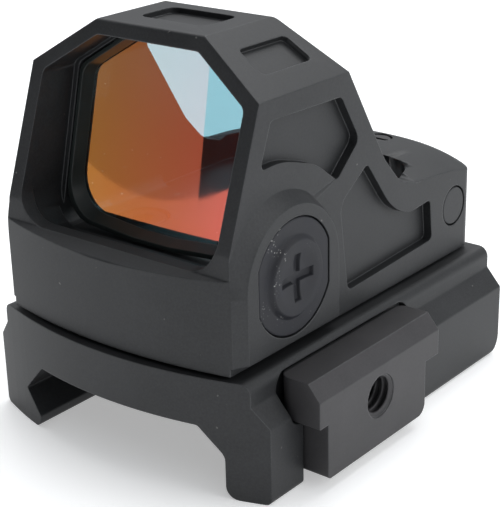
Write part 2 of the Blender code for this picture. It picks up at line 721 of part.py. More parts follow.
def emitter_window():
    """Clear pane in the deck's front wall."""
    half = WINDOW_HALF_WIDTH - SLIDING_GAP
    low, high = WINDOW_LOW_Z + SLIDING_GAP, WINDOW_LOW_Z + WINDOW_HEIGHT - SLIDING_GAP
    outline = rounded([(half, low, 0.2), (half, high, 0.2), (-half, high, 0.2), (-half, low, 0.2)])
    pane = prism("emitter_window", outline, "Y", DECK_FRONT_Y + 0.15, DECK_FRONT_Y + 0.65)
    finish(pane, (0.8, 0.85, 0.85), 0.05, 0.0)


# ---------------------------------------------------------------- buttons


def button(name, side, plus):
    """Rubber button: flatted pad, raised dome and a sunk plus or minus sign."""
    face = BODY_HALF_WIDTH + BOSS_RAISE - PAD_RECESS
    back = face - PAD_THICKNESS
    pad = button_outline()
    inner = button_outline(-0.18)
    loops = [
        [place("X", side * back, a, b) for a, b in pad],
        [place("X", side * (face - 0.15), a, b) for a, b in pad],
        [place("X", side * face, a, b) for a, b in inner],
    ]
    key = loft(name, loops)
    centre = (BUTTON_Y, BUTTON_Z)
    top = face + DOME_RAISE
    profile = [
        (DOME_RADIUS, side * (face - 0.4)),
        (DOME_RADIUS, side * (face + 0.12)),
        (DOME_RADIUS - 0.12, side * (top - 0.06)),
        (DOME_RADIUS - 0.35, side * top),
        (DOME_RADIUS - 0.75, side * (top - 0.02)),
        (DOME_RADIUS - 1.3, side * (top - 0.1)),
    ]
    join(key, turned(name + "_dome", profile, "X", centre, ROUND))
    arms = [(SYMBOL_ARM, SYMBOL_HALF_WIDTH)]
    if plus:
        arms.append((SYMBOL_HALF_WIDTH, SYMBOL_ARM))
    for index, (wide, high) in enumerate(arms):
        bar = rounded(
            [
                (BUTTON_Y + wide, BUTTON_Z - high, 0.15),
                (BUTTON_Y + wide, BUTTON_Z + high, 0.15),
                (BUTTON_Y - wide, BUTTON_Z + high, 0.15),
                (BUTTON_Y - wide, BUTTON_Z - high, 0.15),
            ],
            steps=2,
        )
        ends = sorted((side * (top - 0.1 - SYMBOL_DEPTH), side * (top + OVERCUT)))
        cut(key, prism(f"{name}_sign_{index}", bar, "X", *ends))
    return finish(key, *RUBBER)


def switch_parts(hand, side):
    """Tact switch in its pocket below the button bore, and the plunger between it and the pad."""
    face = BODY_HALF_WIDTH + BOSS_RAISE
    pad_back = face - PAD_RECESS - PAD_THICKNESS
    case_low = face - BUTTON_BORE_DEPTH - SWITCH_POCKET_DEPTH + GAP
    case_high = case_low + SWITCH_HEIGHT
    ends = sorted((side * case_low, side * case_high))
    case = prism(f"{hand}_switch", switch_outline(SWITCH_HALF), "X", *ends)
    finish(case, (0.35, 0.35, 0.36), 0.35, 0.9)
    start = case_high + KEY_TRAVEL + 0.1
    profile = [(PLUNGER_RADIUS, side * start), (PLUNGER_RADIUS, side * (pad_back - 0.1))]
    plunger = turned(f"{hand}_plunger", profile, "X", (BUTTON_Y, SWITCH_Z), 20)
    finish(plunger, (0.4, 0.38, 0.33), 0.5, 0.0)
    set_origin(plunger, side * start, BUTTON_Y, SWITCH_Z)


# ---------------------------------------------------------------- power and board


def coin_cell():
    """2032 cell: can with a narrower cap on top."""
    can = CELL_DIAMETER / 2
    cap = can - 1.1
    step = CELL_BOTTOM_Z + CELL_HEIGHT * 0.78
    profile = [
        (can - 0.35, CELL_BOTTOM_Z),
        (can, CELL_BOTTOM_Z + 0.35),
        (can, step),
        (cap + 0.5, step + 0.15),
        (cap, step + 0.15),
        (cap, CELL_TOP_Z),
    ]
    finish(turned("coin_cell", profile, "Z", (0, CELL_Y), ROUND), *BRIGHT_STEEL)


def main_board():
    """Round board with a flat at the rear, over the cell."""
    radius = CELL_BORE_RADIUS - BOARD_EDGE_GAP
    flat = DECK_FRONT_Y + 0.1
    outline = [(x, min(y, flat)) for x, y in circle(radius, (0, CELL_Y))]
    board = prism("main_board", outline, "Z", BOARD_TOP_Z - BOARD_THICKNESS, BOARD_TOP_Z)
    for side in (1, -1):
        hole = BOARD_SCREW_RADIUS + SLIDING_GAP
        hand = "left" if side > 0 else "right"
        ends = [(hole, BOARD_TOP_Z - OVERCUT), (hole, BOARD_TOP_Z + OVERCUT)]
        cut(board, turned(f"board_hole_{hand}", ends, "Z", (side * BOARD_SCREW_X, CELL_Y), 12))
    finish(board, (0.02, 0.09, 0.04), 0.4, 0.0)
    for side in (1, -1):
        hand = "left" if side > 0 else "right"
        head_top = BOARD_TOP_Z - BOARD_THICKNESS - SLIDING_GAP
        profile = [
            (BOARD_SCREW_RADIUS + 0.4, head_top - 0.35),
            (BOARD_SCREW_RADIUS + 0.4, head_top),
            (BOARD_SCREW_RADIUS, head_top),
            (BOARD_SCREW_RADIUS, FLOOR_Z - 0.5),
        ]
        finish(turned(f"board_screw_{hand}", profile, "Z", (side * BOARD_SCREW_X, CELL_Y), 16), *BRIGHT_STEEL)


def cell_contacts():
    """Upright leaf against the cell's edge, and a flat leaf over its cap."""
    leaf_y = CELL_Y - CELL_BORE_RADIUS - CONTACT_NOTCH / 2
    upright = rounded(
        [(leaf_y - 0.18, CELL_BOTTOM_Z + 0.4, 0), (leaf_y + 0.12, CELL_BOTTOM_Z + 0.4, 0)]
        + [(leaf_y + 0.45, CELL_BOTTOM_Z + 1.8, 0), (leaf_y + 0.12, BOARD_TOP_Z - BOARD_THICKNESS - GAP, 0)]
        + [(leaf_y - 0.18, BOARD_TOP_Z - BOARD_THICKNESS - GAP, 0), (leaf_y + 0.15, CELL_BOTTOM_Z + 1.8, 0)]
    )
    finish(prism("cell_contact_positive", upright, "X", -1.9, 1.9), (0.75, 0.62, 0.3), 0.3, 1.0)
    low = CELL_TOP_Z + 0.12
    corners = ((1.5, -4), (1.5, 4), (-1.5, 4), (-1.5, -4))
    flat = rounded([(a, CELL_Y + b, 0.6) for a, b in corners])
    finish(prism("cell_contact_negative", flat, "Z", low, low + 0.2), (0.75, 0.62, 0.3), 0.3, 1.0)


def cell_gasket():
    """Seal ring in the mount's groove, round the cell chamber."""
    inner = CELL_BORE_RADIUS + GASKET_RADIAL_GAP
    outer = inner + GASKET_WIDTH
    top = MOUNT_TOP_Z + 0.05
    low = MOUNT_TOP_Z - GASKET_GROOVE_DEPTH + 0.25
    gasket = ring("cell_gasket", circle(outer, (0, CELL_Y)), circle(inner, (0, CELL_Y)), "Z", low, top)
    finish(gasket, (0.02, 0.02, 0.02), 0.7, 0.0)


# ---------------------------------------------------------------- adjustment


def adjusters():
    """Windage screw with its long spindle, plug on the far side, elevation screw."""
    face = BODY_HALF_WIDTH - 0.03
    centre = (ADJUSTER_Y, ADJUSTER_Z)
    plug_inner = BODY_HALF_WIDTH - PLUG_DEPTH
    profile = [(PLUG_RADIUS, plug_inner), (PLUG_RADIUS, face - 0.1), (PLUG_RADIUS - 0.1, face)]
    plug = turned("side_plug", profile, "X", centre, ROUND)
    finish(plug, *ANODISED)
    profile = [
        (PLUG_RADIUS - 0.1, -face),
        (PLUG_RADIUS, -face + 0.1),
        (PLUG_RADIUS, -plug_inner),
        (SPINDLE_RADIUS, -plug_inner),
        (SPINDLE_RADIUS, plug_inner - GAP),
    ]
    screw = turned("windage_screw", profile, "X", centre)
    slot = [(ADJUSTER_Y - 3, ADJUSTER_Z - 0.25), (ADJUSTER_Y + 3, ADJUSTER_Z - 0.25)]
    slot += [(ADJUSTER_Y + 3, ADJUSTER_Z + 0.25), (ADJUSTER_Y - 3, ADJUSTER_Z + 0.25)]
    cut(screw, prism("windage_slot", slot, "X", -face - OVERCUT, -face + 0.6))
    finish(screw, *STEEL)
    set_origin(screw, 0, ADJUSTER_Y, ADJUSTER_Z)
    deck = DECK_SIDE_Z + 0.62
    profile = [
        (0.6, ROCKER_TAIL_TOP_Z + SLIDING_GAP),
        (0.6, EMITTER_ROOM_TOP_Z - 0.35),
        (ELEVATION_RADIUS, EMITTER_ROOM_TOP_Z - 0.35),
        (ELEVATION_RADIUS, deck - 0.1),
        (ELEVATION_RADIUS - 0.1, deck),
    ]
    elevation = turned("elevation_screw", profile, "Z", (ELEVATION_X, ELEVATION_Y))
    slot = [(ELEVATION_X - 3, ELEVATION_Y - 0.22), (ELEVATION_X + 3, ELEVATION_Y - 0.22)]
    slot += [(ELEVATION_X + 3, ELEVATION_Y + 0.22), (ELEVATION_X - 3, ELEVATION_Y + 0.22)]
    cut(elevation, prism("elevation_slot", slot, "Z", deck - 0.4, deck + OVERCUT))
    finish(elevation, *STEEL)
    set_origin(elevation, ELEVATION_X, ELEVATION_Y, EMITTER_ROOM_TOP_Z)


def emitter_parts():
    """Carriage that rides on the spindle, the rocker that tips in it, and the emitter."""
    bore = SPINDLE_RADIUS + SLIDING_GAP
    y, z = ADJUSTER_Y, ADJUSTER_Z
    low = CELL_TOP_Z + 0.25
    inner = CARRIAGE_HALF - CHEEK_THICKNESS
    top = z + 1.25
    cheek = rounded([(y - 1.55, low, 0.2), (y + 0.95, low, 0.2), (y + 0.95, top, 0.9), (y - 1.55, top, 0.9)])
    carriage = prism("emitter_carriage", cheek, "X", -CARRIAGE_HALF, CARRIAGE_HALF)
    gap_cut = [(y - 3, low + 0.28), (y + 3, low + 0.28), (y + 3, z + 3), (y - 3, z + 3)]
    cut(carriage, prism("carriage_gap", gap_cut, "X", -inner, inner))
    profile = [(bore, -CARRIAGE_HALF - OVERCUT), (bore, CARRIAGE_HALF + OVERCUT)]
    cut(carriage, turned("carriage_bore", profile, "X", (y, z)))
    finish(carriage, (0.6, 0.45, 0.2), 0.35, 1.0)
    set_origin(carriage, 0, y, z)
    arm = rounded(
        [
            (y - 0.55, z - 0.05, 0.4),
            (y + 1.15, z - 0.25, 0.4),
            (ROCKER_REAR_Y, ROCKER_TAIL_TOP_Z, 0.2),
            (y - 0.4, ROCKER_TAIL_TOP_Z, 0.2),
            (y - 0.8, ROCKER_ARM_TOP_Z, 0.15),
            (ROCKER_FRONT_Y, ROCKER_ARM_TOP_Z, 0.15),
            (ROCKER_FRONT_Y, ROCKER_TAIL_TOP_Z - 0.9, 0.2),
        ]
    )
    rocker = prism("emitter_rocker", arm, "X", -ROCKER_HALF, ROCKER_HALF)
    profile = [(bore + 0.55, -ROCKER_HALF), (bore + 0.55, ROCKER_HALF)]
    join(rocker, turned("rocker_collar", profile, "X", (y, z)))
    foot = [(y - 3, z - 3), (y + 3, z - 3), (y + 3, z - 0.3), (y - 3, z - 0.3)]
    reach = ROCKER_HALF + OVERCUT
    cut(rocker, prism("rocker_foot_cutter", foot, "X", -reach, reach))
    tail = [
        (y + 1.15, ROCKER_TAIL_LOW_Z + 0.2),
        (ROCKER_REAR_Y, ROCKER_TAIL_LOW_Z),
        (ROCKER_REAR_Y, ROCKER_TAIL_TOP_Z),
        (y + 1.15, ROCKER_TAIL_TOP_Z),
    ]
    join(rocker, prism("rocker_tail", tail, "X", -ELEVATION_X - 0.9, ELEVATION_X + 0.9))
    cut(rocker, turned("rocker_bore", [(bore, -reach), (bore, reach)], "X", (y, z)))
    finish(rocker, (0.5, 0.5, 0.5), 0.35, 1.0)
    set_origin(rocker, 0, y, z)
    front = ROCKER_FRONT_Y - 0.1
    low, high = ROCKER_ARM_TOP_Z - 0.8, ROCKER_ARM_TOP_Z - 0.1
    led = rounded([(0.6, low, 0.1), (0.6, high, 0.1), (-0.6, high, 0.1), (-0.6, low, 0.1)])
    emitter = prism("emitter_led", led, "Y", front - 0.25, front)
    finish(emitter, (0.5, 0.02, 0.02), 0.3, 0.0)
    set_origin(emitter, 0, y, z)


# ---------------------------------------------------------------- fasteners of the sight


def mounting_screw(hand, side):
    """Low-head screw from the sight's floor down into the mount."""
    head_top = FLOOR_Z - 0.1
    seat = head_top - MOUNTING_HEAD_HEIGHT
    profile = [
        (MOUNTING_RADIUS - 0.25, 1.25),
        (MOUNTING_RADIUS, 1.5),
        (MOUNTING_RADIUS, seat),
        (MOUNTING_HEAD_RADIUS, seat),
        (MOUNTING_HEAD_RADIUS, head_top - 0.25),
        (MOUNTING_HEAD_RADIUS - 0.25, head_top),
    ]
    screw = turned(f"mounting_screw_{hand}", profile, "Z", (side * MOUNTING_X, MOUNTING_Y))
    socket = [(1.05, head_top - 0.95), (1.05, head_top + OVERCUT)]
    cut(screw, turned(f"mounting_socket_{hand}", socket, "Z", (side * MOUNTING_X, MOUNTING_Y), 6))
    finish(screw, *STEEL)


def locating_pin(hand, side):
    """Dowel that takes recoil between mount and housing."""
    x = side * (BODY_HALF_WIDTH - PIN_INSET)
    low = MOUNT_TOP_Z - 2.2
    high = BODY_BASE_Z + 1.9
    tip = PIN_RADIUS - 0.2
    profile = [(tip, low), (PIN_RADIUS, low + 0.2), (PIN_RADIUS, high - 0.2), (tip, high)]
    finish(turned(f"locating_pin_{hand}", profile, "Z", (x, PIN_Y)), *BRIGHT_STEEL)


# ---------------------------------------------------------------- mount


def base_section():
    """Front outline of the mount: seat, fixed hook on -X, straight leg on +X."""
    seat_hook = RAIL_TOP_HALF + 0.4 * RAIL_CLEARANCE
    apex = RAIL_WIDE_HALF + RAIL_CLEARANCE
    apex_z = -(apex - seat_hook)
    leg_inner = apex + 0.8
    return rounded(
        [
            (SHOULDER_HALF, MOUNT_TOP_Z, SHOULDER_RADIUS),
            (SHOULDER_HALF, SHOULDER_FOOT_Z, 0.3),
            (LEG_HALF, LEG_TOP_Z, 0.3),
            (LEG_HALF, BASE_BOTTOM_Z, 0.5),
            (leg_inner, BASE_BOTTOM_Z, LEG_INNER_RADIUS),
            (leg_inner, -2.3, 1.2),
            (seat_hook + 1.4, 0, 0.6),
            (-seat_hook, 0, 0),
            (-apex, apex_z, 0.2),
            (-apex + HOOK_DEPTH, apex_z - HOOK_DEPTH, 0.2),
            (-apex + HOOK_DEPTH - 0.35, BASE_BOTTOM_Z, HOOK_TIP_RADIUS),
            (-LEG_HALF, BASE_BOTTOM_Z, 0.5),
            (-LEG_HALF, LEG_TOP_Z, 0.3),
            (-SHOULDER_HALF, SHOULDER_FOOT_Z, 0.3),
            (-SHOULDER_HALF, MOUNT_TOP_Z, SHOULDER_RADIUS),
        ]
    )


def mount_base():
    """Rail mount: channel, jaw pocket, cross bore, gasket groove, screw and pin holes."""
    base = prism("mount_base", base_section(), "Y", BASE_FRONT_Y - OVERCUT, BASE_REAR_Y)
    plan = bowed_plan(LEG_HALF + 1, BASE_FRONT_Y, BASE_REAR_Y + 1, BASE_BOW_RADIUS, 0)
    boolean(base, prism("base_plan_limit", plan, "Z", BASE_BOTTOM_Z - 1, MOUNT_TOP_Z + 1), "INTERSECT")
    side_limit = rounded(
        [
            (BASE_FRONT_Y - OVERCUT, BASE_BOTTOM_Z, 0),
            (BASE_REAR_Y, BASE_BOTTOM_Z, LEG_REAR_RADIUS),
            (BASE_REAR_Y, MOUNT_TOP_Z + 1, 0),
            (BASE_FRONT_Y - OVERCUT, MOUNT_TOP_Z + 1, 0),
        ],
        steps=6,
    )
    reach = LEG_HALF + OVERCUT
    boolean(base, prism("base_side_limit", side_limit, "X", -reach, reach), "INTERSECT")
    pocket_front, pocket_rear = JAW_WIDE_FRONT_Y - JAW_POCKET_MARGIN, JAW_WIDE_REAR_Y + JAW_POCKET_MARGIN
    outer = LEG_HALF + OVERCUT
    pocket = rounded(
        [
            (pocket_front, JAW_STEP_Z - GAP, 1.2),
            (pocket_rear, JAW_STEP_Z - GAP, 1.2),
            (pocket_rear, JAW_TOP_Z + GAP, 1.2),
            (pocket_front, JAW_TOP_Z + GAP, 1.2),
        ]
    )
    cut(base, prism("jaw_pocket", pocket, "X", POCKET_WALL_X, outer))
    window = [
        (JAW_NARROW_FRONT_Y - GAP, BASE_BOTTOM_Z - OVERCUT),
        (JAW_NARROW_REAR_Y + GAP, BASE_BOTTOM_Z - OVERCUT),
        (JAW_NARROW_REAR_Y + GAP, JAW_LEDGE_Z + GAP),
        (JAW_NARROW_FRONT_Y - GAP, JAW_LEDGE_Z + GAP),
    ]
    cut(base, prism("jaw_window", window, "X", RAIL_WIDE_HALF - 1.2, outer))
    bore = SCREW_RADIUS + 0.3
    profile = [(bore, -LEG_HALF - OVERCUT), (bore, POCKET_WALL_X + OVERCUT)]
    cut(base, turned("cross_bore", profile, "X", (JAW_Y, SCREW_AXIS_Z)))
    inner = CELL_BORE_RADIUS + GASKET_RADIAL_GAP - 0.25
    outer_radius = inner + GASKET_WIDTH + 0.5
    groove = ring(
        "gasket_groove",
        circle(outer_radius, (0, CELL_Y)),
        circle(inner, (0, CELL_Y)),
        "Z",
        MOUNT_TOP_Z - GASKET_GROOVE_DEPTH,
        MOUNT_TOP_Z + OVERCUT,
    )
    cut(base, groove)
    for side in (1, -1):
        hand = "left" if side > 0 else "right"
        hole = MOUNTING_RADIUS + SLIDING_GAP
        profile = [(hole, 0.9), (hole, MOUNT_TOP_Z + OVERCUT)]
        cut(base, turned(f"mount_thread_{hand}", profile, "Z", (side * MOUNTING_X, MOUNTING_Y)))
        hole = PIN_RADIUS + SLIDING_GAP
        profile = [(hole, MOUNT_TOP_Z - 2.5), (hole, MOUNT_TOP_Z + OVERCUT)]
        spot = (side * (BODY_HALF_WIDTH - PIN_INSET), PIN_Y)
        cut(base, turned(f"mount_pin_hole_{hand}", profile, "Z", spot))
    finish(base, *ANODISED)


def clamp_jaw():
    """T-shaped jaw: wide head in the pocket, narrow leg with the lower hook, threaded bore."""
    inner_x = POCKET_WALL_X + GAP
    apex = RAIL_WIDE_HALF + RAIL_CLEARANCE
    apex_z = -(apex - RAIL_TOP_HALF - 0.4 * RAIL_CLEARANCE)
    bevel = [(JAW_FACE_X, JAW_TOP_Z - JAW_BEVEL_Z), (JAW_FACE_X - JAW_BEVEL_X, JAW_TOP_Z)]
    section = [
        (JAW_FACE_X, JAW_BOTTOM_Z),
        *bevel,
        (inner_x, JAW_TOP_Z),
        (inner_x, JAW_LEDGE_Z),
        (apex + 0.35, JAW_LEDGE_Z),
        (apex + 0.35, apex_z + 0.35),
        (apex, apex_z),
        (apex + apex_z - JAW_BOTTOM_Z - 2 * (apex_z - JAW_BOTTOM_Z), JAW_BOTTOM_Z),
    ]
    low, high = JAW_NARROW_FRONT_Y, JAW_NARROW_REAR_Y
    jaw = prism("clamp_jaw", section, "Y", low, high)
    corners = rounded(
        [
            (low, JAW_BOTTOM_Z, JAW_FRONT_CORNER_RADIUS),
            (high, JAW_BOTTOM_Z, JAW_REAR_CORNER_RADIUS),
            (high, JAW_TOP_Z + OVERCUT, 0),
            (low, JAW_TOP_Z + OVERCUT, 0),
        ]
    )
    boolean(jaw, prism("jaw_corner_limit", corners, "X", 0, JAW_FACE_X + OVERCUT), "INTERSECT")
    plan = rounded(
        [
            (JAW_FACE_X, JAW_WIDE_FRONT_Y, 0),
            (JAW_FACE_X, JAW_WIDE_REAR_Y, 0),
            (inner_x, JAW_WIDE_REAR_Y, JAW_INNER_RADIUS),
            (inner_x, JAW_WIDE_FRONT_Y, JAW_INNER_RADIUS),
        ]
    )
    head = prism("jaw_head", plan, "Z", JAW_STEP_Z, JAW_TOP_Z)
    wedge = [
        (JAW_FACE_X + JAW_BEVEL_X, JAW_TOP_Z - 2 * JAW_BEVEL_Z),
        (JAW_FACE_X - 2 * JAW_BEVEL_X, JAW_TOP_Z + JAW_BEVEL_Z),
        (JAW_FACE_X + JAW_BEVEL_X, JAW_TOP_Z + JAW_BEVEL_Z),
    ]
    span = (JAW_WIDE_FRONT_Y - OVERCUT, JAW_WIDE_REAR_Y + OVERCUT)
    cut(head, prism("jaw_wedge", wedge, "Y", *span))
    join(jaw, head)
    thread = SCREW_RADIUS + 0.05
    cut(jaw, turned("jaw_thread", [(thread, 5), (thread, JAW_FACE_X + OVERCUT)], "X", (JAW_Y, SCREW_AXIS_Z)))
    finish(jaw, (0.05, 0.05, 0.052), 0.5, 0.6)
    set_origin(jaw, JAW_FACE_X, JAW_Y, SCREW_AXIS_Z)


def clamp_screw():
    """Cross screw through the rail slot, and the washer under its head."""
    washer_face = -LEG_HALF - GAP
    seat = washer_face - WASHER_THICKNESS - SLIDING_GAP
    head = seat - SCREW_HEAD_HEIGHT
    end = JAW_FACE_X - 3.4
    centre = (JAW_Y, SCREW_AXIS_Z)
    profile = [
        (SCREW_HEAD_RADIUS - 0.35, head),
        (SCREW_HEAD_RADIUS, head + 0.35),
        (SCREW_HEAD_RADIUS, seat),
        (SCREW_RADIUS - 0.1, seat),
        (SCREW_RADIUS - 0.1, end - 0.3),
        (SCREW_RADIUS - 0.4, end),
    ]
    screw = turned("clamp_screw", profile, "X", centre, ROUND)
    slot = [(JAW_Y - 6, SCREW_AXIS_Z - 0.55), (JAW_Y + 6, SCREW_AXIS_Z - 0.55)]
    slot += [(JAW_Y + 6, SCREW_AXIS_Z + 0.55), (JAW_Y - 6, SCREW_AXIS_Z + 0.55)]
    cut(screw, prism("clamp_slot", slot, "X", head - OVERCUT, head + 1.2))
    finish(screw, *STEEL)
    set_origin(screw, head, JAW_Y, SCREW_AXIS_Z)
    hole = SCREW_RADIUS + SLIDING_GAP
    washer = ring(
        "clamp_washer",
        circle(WASHER_RADIUS, centre),
        circle(hole, centre),
        "X",
        washer_face - WASHER_THICKNESS,
        washer_face,
    )
    finish(washer, *STEEL)


# ---------------------------------------------------------------- assembly


def main():
    """Clears the scene and builds every piece."""
    for thing in list(bpy.data.objects):
        bpy.data.objects.remove(thing, do_unlink=True)
    housing()
    lens()
    lens_bezel()
    emitter_window()
    for hand, side in (("up", 1), ("down", -1)):
        key = button(f"{hand}_button", side, plus=side > 0)
        set_origin(key, side * BODY_HALF_WIDTH, BUTTON_Y, BUTTON_Z)
        switch_parts(hand, side)
    coin_cell()
    main_board()
    cell_contacts()
    cell_gasket()
    adjusters()
    emitter_parts()
    for hand, side in (("left", 1), ("right", -1)):
        mounting_screw(hand, side)
        locating_pin(hand, side)
    mount_base()
    clamp_jaw()
    clamp_screw()


main()
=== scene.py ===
"""Looks of a compact open reflex sight on its rail clamp mount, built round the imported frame.

Every piece takes its place and size from the frame's own boxes, in metres: +X is the side of the
plus button and of the clamp jaw, -Y is the front and +Z is up.
"""

from __future__ import annotations

import json
import logging
import math
from dataclasses import dataclass, field
from enum import Enum

import bmesh
import bpy
import numpy as np
from mathutils import Matrix, Vector


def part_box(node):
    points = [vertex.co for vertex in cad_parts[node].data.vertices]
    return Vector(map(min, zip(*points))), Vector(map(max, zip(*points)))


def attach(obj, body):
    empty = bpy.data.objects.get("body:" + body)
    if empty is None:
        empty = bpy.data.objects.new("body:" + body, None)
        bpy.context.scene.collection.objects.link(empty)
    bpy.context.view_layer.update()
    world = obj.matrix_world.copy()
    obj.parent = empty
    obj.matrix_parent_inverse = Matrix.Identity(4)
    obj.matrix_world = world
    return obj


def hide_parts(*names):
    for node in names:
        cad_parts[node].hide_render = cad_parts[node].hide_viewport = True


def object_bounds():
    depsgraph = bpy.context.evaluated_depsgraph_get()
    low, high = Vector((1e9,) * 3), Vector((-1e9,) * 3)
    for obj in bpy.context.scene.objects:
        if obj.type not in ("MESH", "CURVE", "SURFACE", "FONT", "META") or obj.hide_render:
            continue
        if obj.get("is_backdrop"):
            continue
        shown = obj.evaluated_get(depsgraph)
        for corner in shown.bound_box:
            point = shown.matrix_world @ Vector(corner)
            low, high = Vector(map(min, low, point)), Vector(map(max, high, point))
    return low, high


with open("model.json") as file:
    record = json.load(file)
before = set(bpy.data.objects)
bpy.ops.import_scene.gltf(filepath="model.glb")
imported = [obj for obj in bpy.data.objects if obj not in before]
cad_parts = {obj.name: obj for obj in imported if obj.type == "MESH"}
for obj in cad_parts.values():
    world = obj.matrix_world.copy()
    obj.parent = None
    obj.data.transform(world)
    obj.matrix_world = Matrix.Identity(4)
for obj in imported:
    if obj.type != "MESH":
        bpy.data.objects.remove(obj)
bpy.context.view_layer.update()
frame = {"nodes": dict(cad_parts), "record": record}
LOG = logging.getLogger("sight")
MM = 0.001
MERGE_REACH = 0.002 * MM
FLAT_ANGLE = math.radians(0.4)
CORNER_ANGLE = 20.0
FITTING_CORNER_ANGLE = 35.0

Colour = tuple[float, float, float]
Place = tuple[float, float, float]
Array = np.ndarray


# ---------------------------------------------------------------- shader maths


class Wire:
    """One output socket, with the operators that add Math nodes."""

    def __init__(self, tree: bpy.types.NodeTree, socket: bpy.types.NodeSocket) -> None:
        """Keeps the tree and the socket."""
        self.tree = tree
        self.socket = socket

    def _math(self, operation: str, *values: Wire | float, clamp: bool = False) -> Wire:
        """Adds one Math node.

        Args:
            operation: Name of the node's operation.
            values: Its inputs, in order.
            clamp: Whether the result is held between 0 and 1.

        Returns:
            The result.
        """
        node = self.tree.nodes.new("ShaderNodeMath")
        node.operation = operation
        node.use_clamp = clamp
        for index, value in enumerate(values):
            if isinstance(value, Wire):
                self.tree.links.new(value.socket, node.inputs[index])
            else:
                node.inputs[index].default_value = value
        return Wire(self.tree, node.outputs[0])

    def __add__(self, other: Wire | float) -> Wire:
        """Sum."""
        return self._math("ADD", self, other)

    def __radd__(self, other: float) -> Wire:
        """Sum, number first."""
        return self._math("ADD", other, self)

    def __sub__(self, other: Wire | float) -> Wire:
        """Difference."""
        return self._math("SUBTRACT", self, other)

    def __rsub__(self, other: float) -> Wire:
        """Difference, number first."""
        return self._math("SUBTRACT", other, self)

    def __mul__(self, other: Wire | float) -> Wire:
        """Product."""
        return self._math("MULTIPLY", self, other)

    def __rmul__(self, other: float) -> Wire:
        """Product, number first."""
        return self._math("MULTIPLY", other, self)

    def clamped(self) -> Wire:
        """The value held between 0 and 1."""
        return self._math("ADD", self, 0.0, clamp=True)

    def above(self, low: float, high: float) -> Wire:
        """Ramp from 0 at low to 1 at high, held outside; low may be the larger."""
        return ((self - low) * (1.0 / (high - low))).clamped()


